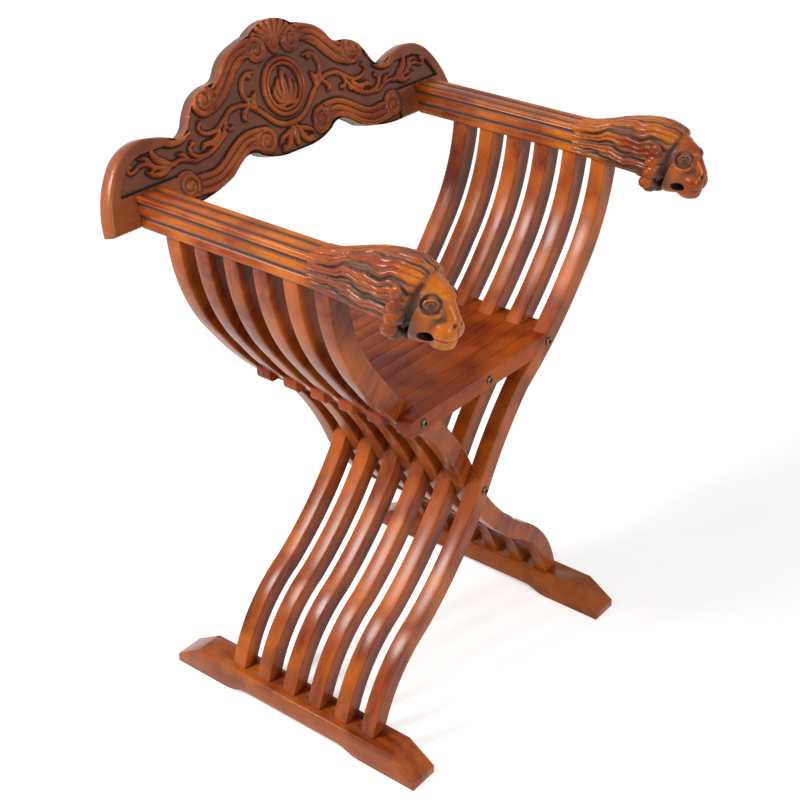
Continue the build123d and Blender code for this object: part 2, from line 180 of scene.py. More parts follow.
def lacquered_wood(name, group, grain, stained, worn):
    """Beech stained red-brown under a glossy lacquer.

    The grain runs along X of a plane turned by grain. Fibres are drawn 1.3 mm wide, coarser than real
    ones, so that they show. A stained piece is darker in its hollows, from its own depth attribute, partly
    by staining and partly by painted shade.
    worn is how much rougher the lacquer is than on the other pieces. Its reflections are weak, as on old
    lacquer.
    """
    material, tree = empty_material(name)
    colours = bpy.context.scene.chair_colours
    dark, middle, light = (getattr(colours, f"{group}_{tone}") for tone in TONES)
    place = add(tree, "ShaderNodeTexCoord").outputs["Object"]
    turned = add(tree, "ShaderNodeMapping", {}, {"Vector": place, "Rotation": grain}).outputs[0]
    along, long_way = (
        add(tree, "ShaderNodeMapping", {}, {"Vector": turned, "Scale": (stretch, 1, 1)}).outputs[0]
        for stretch in (0.05, 0.12))
    fibre = add(tree, "ShaderNodeTexNoise", {}, {"Vector": along, "Scale": per_mm(1.3), "Detail": 3.0,
                                                 "Roughness": 0.6}).outputs[0]
    figure = add(tree, "ShaderNodeTexNoise", {}, {"Vector": long_way, "Scale": per_mm(14), "Detail": 4.0,
                                                  "Distortion": 0.6}).outputs[0]
    toning = add(tree, "ShaderNodeTexNoise", {}, {"Vector": place, "Scale": per_mm(70),
                                                  "Detail": 2.0}).outputs[0]
    layers = [(figure, 0.35, 0.68, 1.0, middle, "MIX"), (toning, 0.40, 0.66, 1.0, light, "MIX"),
              (fibre, 0.62, 0.40, 0.22, colours.fibres, "MULTIPLY")]
    smoothest, roughest = LACQUER
    rough = add(tree, "ShaderNodeMapRange", {}, {
        "Value": toning, "From Min": 0.3, "From Max": 0.7, "To Min": smoothest + worn,
        "To Max": roughest + worn}).outputs[0]
    if stained:
        # the depth attribute darkens the hollows: partly staining, partly painted shade; deep cuts and holes
        # go nearly black in painted shade
        depth = add(tree, "ShaderNodeAttribute", {"attribute_name": "depth"}).outputs["Fac"]
        layers += [(depth, 0.05, 0.55, 1.0, colours.stain, "MIX"),
                   (depth, 0.50, 1.10, 1.0, colours.deep_stain, "MIX")]
        dull = add(tree, "ShaderNodeMapRange", {}, {
            "Value": depth, "From Min": 0.3, "From Max": 1.0, "To Min": 0.0, "To Max": HOLLOWS}).outputs[0]
        rough = add(tree, "ShaderNodeMath", {"operation": "ADD"}, {0: rough, 1: dull}).outputs[0]
    bump = add(tree, "ShaderNodeBump", {}, {"Strength": 0.12, "Distance": 0.2 * MM, "Height": fibre})
    shader = add(tree, "ShaderNodeBsdfPrincipled", {}, {
        "Base Color": layered(tree, dark, layers), "Roughness": rough, "IOR": 1.5,
        "Specular IOR Level": 0.2, "Normal": bump.outputs[0]})
    add(tree, "ShaderNodeOutputMaterial", {}, {"Surface": shader.outputs[0]})
    return material


# Each group's turn of the grain, whether its hollows are darkened (partly staining, partly painted shade),
# and how much rougher its lacquer is.
FINISHES = {
    "ribs": ((0, radians(50), 0), False, 0.0),
    "seat": ((0, 0, 0), False, 0.16),
    "rails": ((0, 0, radians(90)), False, 0.0),
    "arms": ((0, 0, radians(90)), True, 0.0),
    "back": ((0, 0, 0), True, 0.0),
}


def wood(group):
    """The finish of a group of wooden pieces, made once."""
    grain, stained, worn = FINISHES[group]
    name = f"{'Stained_and_shaded' if stained else 'Lacquered'} beech, {group}"
    return bpy.data.materials.get(name) or lacquered_wood(name, group, grain, stained, worn)


def bronzed_steel():
    """Dark oil-bronzed steel: a soft metallic gleam with lighter rubbed spots."""
    material, tree = empty_material("Bronzed steel")
    colours = bpy.context.scene.chair_colours
    place = add(tree, "ShaderNodeTexCoord").outputs["Object"]
    rubbed = add(tree, "ShaderNodeTexNoise", {}, {"Vector": place, "Scale": per_mm(3)}).outputs[0]
    colour = layered(tree, colours.steel, [(rubbed, 0.4, 0.7, 1.0, colours.rubbed_steel, "MIX")])
    rough = add(tree, "ShaderNodeMapRange", {}, {"Value": rubbed, "To Min": 0.3, "To Max": 0.5})
    shader = add(tree, "ShaderNodeBsdfPrincipled", {}, {
        "Base Color": colour, "Metallic": 1.0, "Roughness": rough.outputs[0]})
    add(tree, "ShaderNodeOutputMaterial", {}, {"Surface": shader.outputs[0]})
    return material


# ---- Meshes ----------------------------------------------------------------------------------------
def shown(name, mesh, material, sharp=SHARP):
    """A piece from a mesh: in its material, smooth between its sharp edges."""
    mesh.materials.append(material)
    mesh.shade_smooth()
    mesh.set_sharp_from_angle(angle=radians(sharp))
    piece = bpy.data.objects.new(name, mesh)
    bpy.context.scene.collection.objects.link(piece)
    return piece


def new_piece(name, points, faces, material, sharp=SHARP, depth=None):
    """A piece from points in millimetres. depth is each point's place in a carved hollow."""
    mesh = bpy.data.meshes.new(name)
    mesh.from_pydata((np.asarray(points, float) * MM).tolist(), [], faces)
    mesh.update()
    if depth is not None:
        hollow = mesh.attributes.new("depth", "FLOAT", "POINT")
        hollow.data.foreach_set("value", np.asarray(depth, np.float32))
    return shown(name, mesh, material, sharp)


def applied(piece, modifier):
    """Keep what a modifier makes of a piece as its plain mesh, and drop the modifier."""
    bpy.context.view_layer.update()
    seen = piece.evaluated_get(bpy.context.evaluated_depsgraph_get())
    mesh = bpy.data.meshes.new_from_object(seen)
    piece.modifiers.remove(modifier)
    piece.data = mesh
    return piece


def set_material(node, material):
    """Put a material in every slot of a CAD node."""
    if not node.material_slots:
        node.data.materials.append(material)
    for place in node.material_slots:
        place.material = material


def finish(piece, body, slot, *nodes):
    """Put a piece on its body in place of CAD nodes."""
    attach(piece, body)
    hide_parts(*nodes)


def merged(node):
    """A CAD piece's mesh to work on, with its corners joined."""
    shape = bmesh.new()
    shape.from_mesh(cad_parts[node].data)
    bmesh.ops.remove_doubles(shape, verts=shape.verts, dist=SAME_PLACE)
    return shape


def flat_loops(node, towards=(0, -1, 0), across=(1, 0, 0), up=(0, 0, 1)):
    """Outline and holes of a CAD piece's outermost flat face one way: (across, up) loops, longest first."""
    towards, across, up = Vector(towards), Vector(across), Vector(up)
    shape = merged(node)
    most = max(v.co @ towards for v in shape.verts)
    flat = {f for f in shape.faces if all(most - v.co @ towards < 2 * SAME_PLACE for v in f.verts)}
    ahead = {}
    for face in flat:
        for corner in face.loops:
            if sum(f in flat for f in corner.edge.link_faces) == 1:
                ahead[corner.vert] = corner.link_loop_next.vert
    loops = []
    while ahead:
        vert, way = ahead.popitem()
        loop = [vert]
        while way in ahead:
            loop.append(way)
            way = ahead.pop(way)
        loops.append(np.array([(v.co @ across / MM, v.co @ up / MM) for v in loop]))
    shape.free()
    return sorted(loops, key=lambda loop: -np.ptp(loop, axis=0).max())


def turned_in(loop, amount):
    """Move a closed loop to its left by an amount."""
    ahead = np.roll(loop, -1, axis=0) - loop
    ahead /= np.linalg.norm(ahead, axis=1)[:, None]
    left = np.stack([-ahead[:, 1], ahead[:, 0]], axis=1)
    before = np.roll(left, 1, axis=0)
    return loop + amount * (left + before) / (1 + (left * before).sum(axis=1))[:, None]


def area(loop):
    """Signed area of a loop, positive when it turns left."""
    x, z = loop.T
    return (x * np.roll(z, -1) - z * np.roll(x, -1)).sum() / 2


def walls(start, rings, count):
    """Faces between rings of as many points each, from a first point on."""
    turns = [(i, (i + 1) % count) for i in range(count)]
    return [(base + i, base + count + i, base + count + j, base + j)
            for base in range(start, start + (rings - 1) * count, count) for i, j in turns]


def eased_plate(loops, low, high, ease, beside=0.4):
    """Points and faces of a flat piece that stands across the chair, with rounded long edges.

    Its holes are plain. A ring on the flat faces, beside each rounding, keeps their shading flat.
    """
    quarter = [radians(a) for a in (0, 30, 60, 90)]
    rounding = [(ease + beside, 0)] + [(ease * (1 - sin(a)), ease * (1 - cos(a))) for a in quarter]
    points, faces, caps = [], [], ([], [])
    for number, loop in enumerate(loops):
        outer = number == 0
        loop = loop if (area(loop) > 0) == outer else loop[::-1]
        steps = rounding if outer else [(0, 0)]
        rings = [(inset, low + deep) for inset, deep in steps]
        rings += [(inset, high - deep) for inset, deep in steps[::-1]]
        start, count = len(points), len(loop)
        for inset, across in rings:
            points += [(u, across, v) for u, v in turned_in(loop, inset)]
        faces += walls(start, len(rings), count)
        caps[0].append(range(start, start + count))
        caps[1].append(range(len(points) - count, len(points)))
    for side, rims in enumerate(caps):
        order = [i for rim in rims for i in rim]
        for triangle in tessellate_polygon([[Vector(points[i]) for i in rim] for rim in rims]):
            a, b, c = (order[i] for i in triangle)
            normal = np.cross(np.subtract(points[b], points[a]), np.subtract(points[c], points[a]))
            inwards = (normal[1] > 0) == (side == 0)
            faces.append((c, b, a) if inwards else (a, b, c))
    return points, faces


def rounded_end(loop, radius, steps=7):
    """A board's outline with the end that is further from the chair's middle rounded."""
    far = loop[np.abs(loop[:, 0]).argmax(), 0]
    at_end = np.abs(loop[:, 0]) > abs(far) - radius
    first = next(i for i in range(len(loop)) if at_end[i - 1] and not at_end[i])
    kept = np.roll(loop, -first, axis=0)[~np.roll(at_end, -first)]
    low, high = loop[at_end][:, 1].min(), loop[at_end][:, 1].max()
    turn = np.radians(np.linspace(0, 90, steps))
    across = far - np.sign(far) * radius * (1 - np.sin(turn))
    over = np.stack([across, high - radius * (1 - np.cos(turn))], 1)
    under = np.stack([across, low + radius * (1 - np.cos(turn))], 1)[::-1]
    ends = np.concatenate([over, under])
    return np.concatenate([kept, ends if kept[-1][1] > (low + high) / 2 else ends[::-1]])


def eased_copy(name, node, width, material, keep_sharp, least=25):
    """A CAD piece with its edges rounded where they turn by a least angle, except inside some boxes."""
    shape = merged(node)
    bmesh.ops.dissolve_limit(shape, angle_limit=radians(1), verts=shape.verts, edges=shape.edges)
    edges = []
    for edge in shape.edges:
        if len(edge.link_faces) == 2 and edge.calc_face_angle() > radians(least):
            middle = (edge.verts[0].co + edge.verts[1].co) / 2
            if not any(all(low[i] < middle[i] < high[i] for i in range(3)) for low, high in keep_sharp):
                edges.append(edge)
    bmesh.ops.bevel(shape, geom=edges, offset=width * MM, segments=3, profile=0.5, affect="EDGES",
                    clamp_overlap=True)
    bmesh.ops.triangulate(shape, faces=shape.faces)
    mesh = bpy.data.meshes.new(name)
    shape.to_mesh(mesh)
    shape.free()
    return shown(name, mesh, material)


def row_tree():
    """Node tree that repeats a piece in a row, at a step, and gives it a material."""
    tree = bpy.data.node_groups.new("Row of like pieces", "GeometryNodeTree")
    inputs = (("Geometry", "Geometry"), ("Count", "Int"), ("Step", "Vector"), ("Finish", "Material"))
    for name, kind in inputs:
        tree.interface.new_socket(name, in_out="INPUT", socket_type="NodeSocket" + kind)
    tree.interface.new_socket("Geometry", in_out="OUTPUT", socket_type="NodeSocketGeometry")
    given = add(tree, "NodeGroupInput").outputs
    places = add(tree, "GeometryNodeMeshLine", {}, {"Count": given["Count"], "Offset": given["Step"]})
    copies = add(tree, "GeometryNodeInstanceOnPoints", {}, {"Points": places.outputs[0],
                                                            "Instance": given["Geometry"]})
    real = add(tree, "GeometryNodeRealizeInstances", {}, {0: copies.outputs[0]})
    done = add(tree, "GeometryNodeSetMaterial", {}, {"Geometry": real.outputs[0],
                                                     "Material": given["Finish"]})
    add(tree, "NodeGroupOutput", {}, {0: done.outputs[0]})
    return tree


def modelled(piece, tree, values):
    """Run a node tree on a piece and keep the result as its plain mesh."""
    modifier = piece.modifiers.new("Shape", "NODES")
    modifier.node_group = tree
    for socket in tree.interface.items_tree:
        if socket.in_out == "INPUT" and socket.name in values:
            modifier[socket.identifier] = values[socket.name]
    return applied(piece, modifier)


def row_of(name, nodes, loops, ease, material, sharp=SHARP):
    """A row of like flat pieces with eased edges, at the places of CAD nodes that stand a step apart."""
    low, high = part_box(nodes[0])
    piece = new_piece(name, *eased_plate(loops, low.y / MM, high.y / MM, ease), material, sharp)
    step = (0, LAYER_STEP * MM, 0)
    return modelled(piece, row_tree(), {"Count": len(nodes), "Step": step, "Finish": material})


# ---- Carving: solid forms as distances ---------------------------------------------------------------
# A form is worked out at many places at once, in millimetres, and is negative inside. Places on an arm
# are (across from its centre line, back from the nose, above its underside).
def lobe(places, centre, radii, lean=0.0):
    """An ellipsoid, leaning back by an angle in degrees."""
    radii = np.asarray(radii, float)
    away = places - np.asarray(centre, float)
    if lean:
        c, s = cos(radians(lean)), sin(radians(lean))
        away = np.stack([away[:, 0], away[:, 1] * c - away[:, 2] * s, away[:, 1] * s + away[:, 2] * c], 1)
    near = np.linalg.norm(away / radii, axis=1)
    return near * (near - 1) / np.maximum(np.linalg.norm(away / radii ** 2, axis=1), 1e-9)


def lock(places, start, end, thick, thin):
    """A tapered bar with round ends."""
    start, end = np.asarray(start, float), np.asarray(end, float)
    along = end - start
    share = np.clip((places - start) @ along / (along @ along), 0, 1)
    return np.linalg.norm(places - start - share[:, None] * along, axis=1) - (thick + share * (thin - thick))


def join(first, second, soft):
    """Two forms as one, with a soft hollow between them."""
    share = np.clip(0.5 + 0.5 * (second - first) / soft, 0, 1)
    return second + (first - second) * share - soft * share * (1 - share)


def carve(form, tool, soft):
    """A form with another cut out of it."""
    return -join(-form, tool, soft)


def near_values(form, places, shape, step, block=5, margin=7.0):
    """A form's values on a grid, worked out fully only in blocks near its surface."""
    places = places.reshape(*shape, 3)
    middles = [np.minimum(np.arange(n) // block * block + block // 2, n - 1) for n in shape]
    firsts = [np.unique(m) for m in middles]
    rough = form(places[np.ix_(*firsts)].reshape(-1, 3)).reshape([len(f) for f in firsts])
    value = rough[np.ix_(*[np.searchsorted(f, m) for f, m in zip(firsts, middles)])]
    near = np.abs(value) < margin + block * step
    value[near] = form(places[near])
    return value


def skin(form, low, high, step):
    """Closed mesh where a form is zero: a point in each cell that the surface crosses, joined in quads."""
    axes = [np.arange(a, b + step, step) for a, b in zip(low, high)]
    shape = tuple(len(a) for a in axes)
    value = near_values(form, np.stack(np.meshgrid(*axes, indexing="ij"), -1), shape, step)
    cells = tuple(n - 1 for n in shape)
    inside = (value < 0).astype(np.int8)
    corners = [(i, j, k) for i in (0, 1) for j in (0, 1) for k in (0, 1)]
    count = sum(inside[i:i + cells[0], j:j + cells[1], k:k + cells[2]] for i, j, k in corners)
    active = (count > 0) & (count < 8)
    index = np.full(cells, -1)
    index[active] = np.arange(active.sum())
    total, hits, quads = np.zeros((active.sum(), 3)), np.zeros(active.sum()), []
    for axis in range(3):
        first, second = np.moveaxis(value, axis, 0)[:-1], np.moveaxis(value, axis, 0)[1:]
        cross = np.moveaxis((first < 0) != (second < 0), 0, axis)
        first, second = np.moveaxis(first, 0, axis)[cross], np.moveaxis(second, 0, axis)[cross]
        at = np.argwhere(cross)
        point = at.astype(float)
        point[:, axis] += first / (first - second)
        one, two = [i for i in range(3) if i != axis]
        ring = []
        for s, t in ((1, 1), (0, 1), (0, 0), (1, 0)):
            cell = at.copy()
            cell[:, one] -= s
            cell[:, two] -= t
            ring.append(index[tuple(cell.T)])
            np.add.at(total, ring[-1], point)
            np.add.at(hits, ring[-1], 1)
        quad = np.stack(ring, 1)
        turned = ~((first < 0) ^ (axis == 1))
        quad[turned] = quad[turned][:, ::-1]
        quads.append(quad)
    points = total / hits[:, None] * step + np.asarray(low, float)
    return settled(form, points), np.concatenate(quads)


def slope(form, places, reach=0.3):
    """The way in which a form grows fastest, and how fast."""
    return np.stack([form(places + reach * way) - form(places - reach * way) for way in np.eye(3)],
                    1) / (2 * reach)


def settled(form, points, rounds=3, most=0.5):
    """Move points onto a form's surface."""
    for _ in range(rounds):
        way = slope(form, points)
        move = form(points)[:, None] * way / np.maximum((way ** 2).sum(1), 0.3)[:, None]
        size = np.linalg.norm(move, axis=1)[:, None]
        points = points - move * np.minimum(1, most / np.maximum(size, 1e-9))
    return points


def hollows(form, points):
    """How deep in the carving each point lies: 0 on open surfaces, towards 1 in narrow cuts."""
    way = slope(form, points, 0.5)
    way /= np.maximum(np.linalg.norm(way, axis=1), 1e-9)[:, None]
    shut = [np.clip((reach - form(points + way * reach)) / reach, -0.5, 1.5) for reach in (1.5, 3.0, 6.0)]
    return sum(shut) / 3


# ---- Lion head ---------------------------------------------------------------------------------------
# Sections of the mane: back from the nose, half width, top, bottom, corner radius.
MANE = np.array([
    (28, 27.0, 58, -6, 26), (45, 32.0, 63.5, -9, 29), (62, 35.0, 67.0, -12, 30), (80, 34.5, 67.0, -10, 28),
    (100, 31.5, 63.5, -7, 23), (122, 28.0, 57, -4.5, 16), (150, 24.5, 47.5, -1.5, 9),
    (175, 22.2, 41.6, -0.6, 5), (200, 21.6, 40.2, -0.6, 3)])
MANE_END = 187.0        # where its tips lie on the moulded bar
MANE_FRONT = (33, 0.37, 62)      # its front edge: back from the nose at the crown, lean, the crown's height
TRENCH = (29, 36, 25, 0.84)      # cut before the mane: half axes, height of its middle, where it starts
STRANDS = 15            # strands on half of its girth
EYE = np.array((16.6, 24.0, 30.0))
GAZE = np.array((0.85, -0.50, 0.12)) / np.linalg.norm((0.85, -0.50, 0.12))
MOUTH = ((17.5, 28.5, -6.8), (14.0, 7.8, 5.2), -14)     # drilled corner: middle, half axes, lean in degrees

# Locks that hang in a plait behind the cheek and on under the jaw: middle, half axes, lean in degrees.
PLAIT = (
    ((32.0, 60.5, 23.0), (6.2, 11.0, 8.4), 38), ((32.0, 62.5, 8.0), (6.4, 11.5, 8.8), 38),
    ((30.5, 68.0, -6.5), (7.0, 11.0, 8.6), 32), ((20.0, 67.0, -15.5), (8.5, 10.5, 7.5), 18),
    ((6.5, 64.0, -18.5), (8.5, 10.5, 7.0), 5))

# What is joined to the skull or carved out of it: a form, its places and sizes, how soft they meet.
FACE = (
    (join, lobe, (19, 41, 10), (10, 15, 17), 10),               # cheek
    (join, lock, (0, 24, 35.5), (0, 8, 13.0), 11.5, 8.0, 6),    # bridge
    (join, lobe, (0, 21, -3), (17.5, 20, 18), 9),               # muzzle
    (join, lobe, (8.0, 12.5, -1), (10, 11, 10), 6),             # upper lip
    (join, lobe, (0, 22, -17), (12.5, 15, 10), 5),              # lower jaw
    (join, lobe, (0, 13, -17), (7.5, 7, 7), 3),                 # chin
    (join, lobe, (13, 44, -6), (12, 18, 13), 9),                # jaw angle
    (join, lobe, (0, 5.8, 10.0), (8.0, 5.8, 5.4), 2.5),         # nose pad
    (join, lobe, (6.6, 6.2, 6.0), (4.0, 5.0, 4.4), 1.5),        # wing of the nostril
    (carve, lobe, (24.5, 21, 30.0), (8.5, 12, 10), 4.0),        # beside the bridge
    (join, lock, (5, 13.5, 35.0), (21.5, 33, 37.0), 4.2, 3.4, 4),   # brow
    (join, lock, (14, 18, 18.5), (21, 32, 17.0), 4.0, 3.0, 6),      # under the eye
)
NOSTRIL = ((5.6, 1.6, 7.4), (2.6, 4.4, 2.4))

# How dark the carving is made where it is darkest, from 0 on bare wood to past 1 in black cuts: staining
# and painted shade in the strand cuts and on the cheek; painted shade in the trench, the mouth, the socket's
# ring and the pupil; a darker eyeball.
STRAND_STAIN_AND_SHADE, TRENCH_SHADE, MOUTH_SHADE, CHEEK_STAIN_AND_SHADE = 0.85, 0.55, 1.3, 0.52
SOCKET_SHADE, IRIS_STAIN, PUPIL_SHADE = 0.75, 0.55, 0.4


def eased_between(knots, column, at):
    """A column of a table between its rows, without corners."""
    values = knots[:, column]
    place = np.interp(at, knots[:, 0], np.arange(len(knots)))
    row = np.clip(place.astype(int), 0, len(knots) - 2)
    t = place - row
    rise = np.gradient(values)
    return (values[row] * (2 * t ** 3 - 3 * t ** 2 + 1) + rise[row] * (t ** 3 - 2 * t ** 2 + t)
            + values[row + 1] * (3 * t ** 2 - 2 * t ** 3) + rise[row + 1] * (t ** 3 - t ** 2))


def strands(turn, q):
    """Number of the strand at a place: strands wave together and run straighter near the bar."""
    calm = 1 - 0.6 * np.clip((q - 145) / 40, 0, 1)
    wave = 0.085 * np.sin(2 * pi * q / 76 + 1.3 * turn) + 0.035 * np.sin(2 * pi * q / 34 - 1.7 * turn)
    wave += 0.010 * np.sin(2 * pi * q / 16 + 4 * turn)
    number = STRANDS * (turn + calm * wave) / pi
    return number + 0.35 * np.sin(q / 21 + 2.7 * turn) * np.sin(q / 33 - 1.6 * turn)


def mane_form(places):
    """The mane, cut into waving strands, how far back its front edge is, and how deep it is cut."""
    u, q, h = places.T
    half, top, low, corner = (eased_between(MANE, column, q) for column in (1, 2, 3, 4))
    middle, tall = (top + low) / 2, (top - low) / 2
    corner = np.minimum(corner, np.minimum(half, tall) - 0.5)
    beside, above = np.abs(u) - (half - corner), np.abs(h - middle) - (tall - corner)
    form = np.hypot(np.maximum(beside, 0), np.maximum(above, 0))
    form += np.minimum(np.maximum(beside, above), 0) - corner

    turn = np.arctan2(h - middle, np.abs(u))
    turn = turn + 0.10 * np.sin(3 * turn + 1.0)
    strand = strands(turn, q)
    ridge = np.abs(np.sin(pi * strand)) ** 0.75
    bundle = np.abs(np.sin(pi * strand / 2.7 + 0.9 * np.sin(q / 34 + 2 * turn))) ** 0.6
    calm = np.clip((q - 150) / 40, 0, 1)
    cut = (2.4 - 1.1 * calm) * (1 - ridge) + (3.0 - 1.7 * calm) * (1 - bundle)
    form += cut - 0.8 * (1 - calm)
    at_crown, lean, crown = MANE_FRONT
    front = at_crown + lean * np.maximum(crown - h, 0)
    form = carve(form, q - front - 1.3 * (ridge - 0.5), 4.5)
    tips = MANE_END - 0.05 * (34 - h) + 5.0 * (bundle - 0.6) + 2.5 * (ridge - 0.5)
    return carve(form, tips - q, 1.2), front, cut


def eye_form(form, m):
    """A face with its eye set in: socket, eyeball, lids, iris and pupil."""
    away = m - EYE
    ahead = away @ GAZE
    over = np.array((0, 0, 1)) - GAZE[2] * GAZE
    over /= np.linalg.norm(over)
    high = away @ over
    wide = away @ np.cross(over, GAZE)
    ring = np.hypot(wide, high)
    form = carve(form, np.hypot(ring / 1.9, ahead - 6.0) - 5.6, 3.0)                 # socket
    form = carve(form, np.hypot(ring - 9.6, ahead - 1.8) - 1.7, 1.6)                 # its dark ring
    form = join(form, np.linalg.norm(away, axis=1) - 6.6, 0.5)
    slit = np.hypot(wide + 0.15 * high, high / np.where(high > 0, 0.68, 0.55)) - 7.8
    lid = np.hypot(slit * 0.8, ahead - 3.2) - np.where(high > -1, 1.75, 1.25)
    form = join(form, lid, 0.7)
    form = carve(form, np.hypot(slit + 1.9, ahead - 4.6) - 0.75, 0.4)
    return carve(form, np.hypot(ring, ahead - 7.2) - 1.5, 0.5)


def face_form(m):
    """Skull, brow, muzzle, nose, eyes and mouth, from places on the outer side of the middle."""
    u, q, h = m.T
    form = lobe(m, (0, 50, 25), (28, 34, 34.5))
    for way, kind, *sizes, soft in FACE:
        form = way(form, kind(m, *sizes), soft)
    form = eye_form(form, m)
    form = carve(form, lobe(m, *NOSTRIL), 0.8)
    lips = h + 12.0 - 0.18 * q
    form += 1.7 * np.exp(-(lips / 1.2) ** 2) * np.clip((24 - q) / 8, 0, 1)
    cleft = np.clip((9 - q) / 3, 0, 1) * np.clip((5 - h) / 3, 0, 1) * np.clip((h + 11) / 2, 0, 1)
    form += 1.6 * np.exp(-(u / 1.2) ** 2) * cleft
    form = carve(form, lobe(m, *MOUTH), 1.0)
    furrow = np.abs(u - 3.5 - 0.30 * (q - 16))
    return form + 0.5 * np.exp(-(furrow / 2.2) ** 2) * np.clip((h - 38) / 6, 0, 1)


def trench(u, q, h, front):
    """Distance to the deep cut between the face and the mane, which runs out towards the crown."""
    across, tall, middle, start = TRENCH
    girth = np.hypot(u / across, (h - middle) / tall)
    wide = 2.2 + 3.0 * np.clip((52 - h) / 20, 0, 1)
    cut = np.maximum(np.abs(q - front + wide) - wide, (start - girth) * across)
    return cut + 6 * np.clip((h - 48) / 8, 0, 1)


def head_parts(places):
    """The head's form, and what its staining and painted shade need: outer places, mane, cut between strands,
    trench.
    """
    hair, front, cut = mane_form(places)
    m = places.copy()
    m[:, 0] = np.abs(m[:, 0])
    u, q, h = m.T
    deep = trench(u, q, h, front)
    form = join(carve(face_form(m), deep, 2.5), hair, 1.2)
    ear = lobe(m, (33.8, 56.5, 39.0), (4.6, 9.0, 7.8), 35)
    ear = carve(ear, lobe(m, (39.5, 53.0, 40.5), (3.5, 5.5, 3.6), 35), 1.5)
    form = join(form, ear, 1.2)
    for centre, radii, lean in PLAIT:
        knot = lobe(m, centre, radii, lean)
        c, s = cos(radians(lean)), sin(radians(lean))
        along = (q - centre[1]) * c + (h - centre[2]) * s
        over = (h - centre[2]) * c - (q - centre[1]) * s
        knot = knot + 0.9 * np.exp(-((over - 1.8 + 0.03 * along ** 2) / 0.8) ** 2)
        form = join(form, knot, 0.7)
    return form, m, hair, cut, deep


def head_form(places):
    """The whole head."""
    return head_parts(places)[0]


def head_stain_and_shade(points):
    """How dark each point is made, by staining and by painted shade: in cuts, in the trench, round the eyes,
    inside the mouth, on the cheek, and painted shade on the mane's lower side.
    """
    _, m, hair, cut, deep = head_parts(points)
    _, q, h = m.T
    # staining and painted shade in the carving's hollows, from how shut in each point is
    dark = np.maximum(hollows(head_form, points), 0)
    # painted shade on the lower side of the mane
    lower_side_shade = 0.16 * np.clip((36 - h) / 12, 0, 1)
    # staining and painted shade in the cuts between the strands
    between = np.maximum(dark * 0.5, np.clip(cut / 2.8 - 0.28, 0, STRAND_STAIN_AND_SHADE)) + lower_side_shade
    dark = np.where(np.abs(hair) < 0.3, between, dark)
    # painted shade in the trench before the mane
    dark = np.maximum(dark, np.clip(1 - deep / 2.0, 0, 1) * TRENCH_SHADE)
    # painted shade inside the drilled mouth
    dark = np.maximum(dark, np.clip(1.6 - lobe(m, *MOUTH), 0, MOUTH_SHADE))
    away = m - EYE
    ahead = away @ GAZE
    ring = np.linalg.norm(away - ahead[:, None] * GAZE, axis=1)
    # painted shade in the dark ring of the eye's socket
    socket = np.maximum(dark, SOCKET_SHADE * np.exp(-((ring - 9.8) / 2.2) ** 2))
    dark = np.where((ahead > -2) & (ring < 16), socket, dark)
    # a darker eyeball, with painted shade in its drilled pupil
    eyeball = np.maximum(dark, IRIS_STAIN + PUPIL_SHADE * np.exp(-(ring / 1.8) ** 2))
    dark = np.where((ahead > 4.6) & (ring < 5.0), eyeball, dark)
    # staining and painted shade on the cheek behind the eye
    cheek = np.exp(-((q - 43) / 13) ** 2) * np.clip((h + 16) / 10, 0, 1) * np.clip((54 - h) / 10, 0, 1)
    return np.maximum(dark, np.where(hair > 1, CHEEK_STAIN_AND_SHADE * cheek, 0))


# ---- Armrest bar -------------------------------------------------------------------------------------
ARM_WIDTH, ARM_HEIGHT = 41.0, 39.0
COVE_RADIUS, COVE_DEPTH = 3.5, 2.2
SIDE_COVES = (14.0, 29.5)
TOP_COVES = (-10.0, 10.0)
REED_CROWN = 1.2             # how far the reeds between the coves round off at their edges
COVE_END = 188.0             # centre of the coves' scooped stops
RAKE = radians(17.8)         # lean of the back and of the arms' rear ends
REAR = 440.0                 # the arms' rear end at their underside, back from the nose
BACK_GAP = 0.3               # between the arms and the panel
# A cleat: its width at the panel, how much wider it gets, how deep it goes, its foot's height.
CLEAT_ROOT, CLEAT_SPREAD, CLEAT_DEPTH, CLEAT_LIFT = 9.0, 4.0, 12.0, 10.0
CLEAT_STOCK = 12.0           # how much longer the bar is that a cleat is cut from
CLEAT_SUNK = 0.5             # how far a cleat goes into the panel
NOTCH_FIT, NOTCH_PAST = 0.3, 8.0     # play about the cleat, and how far the notch's cutter runs past
HEAD_REACH = 273.0           # the nose's tip in front of the middle of the rib stack
HEAD_HANG = 28.0             # how far the CAD head hangs below the arm's underside
HEAD_BOX = ((-46, -5, -37), (46, 196, 74))       # room for the head, on an arm
COVE_STAIN_AND_SHADE = 0.8             # how dark a cove's bottom is made: staining and painted shade
ARM_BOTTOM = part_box("right_armrest")[0].z / MM + HEAD_HANG
ARM_OFFSET = (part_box("right_armrest")[0].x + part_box("right_armrest")[1].x) / 2 / MM


def moulding(at, coves, ends, back):
    """How far the bar's face lies below its flat at a distance along the face: rounded reeds, coves."""
    out = COVE_RADIUS - COVE_DEPTH
    radius = np.sqrt(max(COVE_RADIUS ** 2 - max(COVE_END - back, 0) ** 2, 0))
    half = np.sqrt(COVE_RADIUS ** 2 - out ** 2)
    edges = sorted([ends[0], ends[1], *[c - half for c in coves], *[c + half for c in coves]])
    drop = 0.0
    for low, high in zip(edges[::2], edges[1::2]):
        if low <= at <= high:
            drop = REED_CROWN * ((2 * at - low - high) / (high - low)) ** 2
    for cove in coves:
        if abs(at - cove) < radius:
            drop = max(drop, np.sqrt(radius ** 2 - (at - cove) ** 2) - out)
    return drop if back > COVE_END - COVE_RADIUS else 0.0


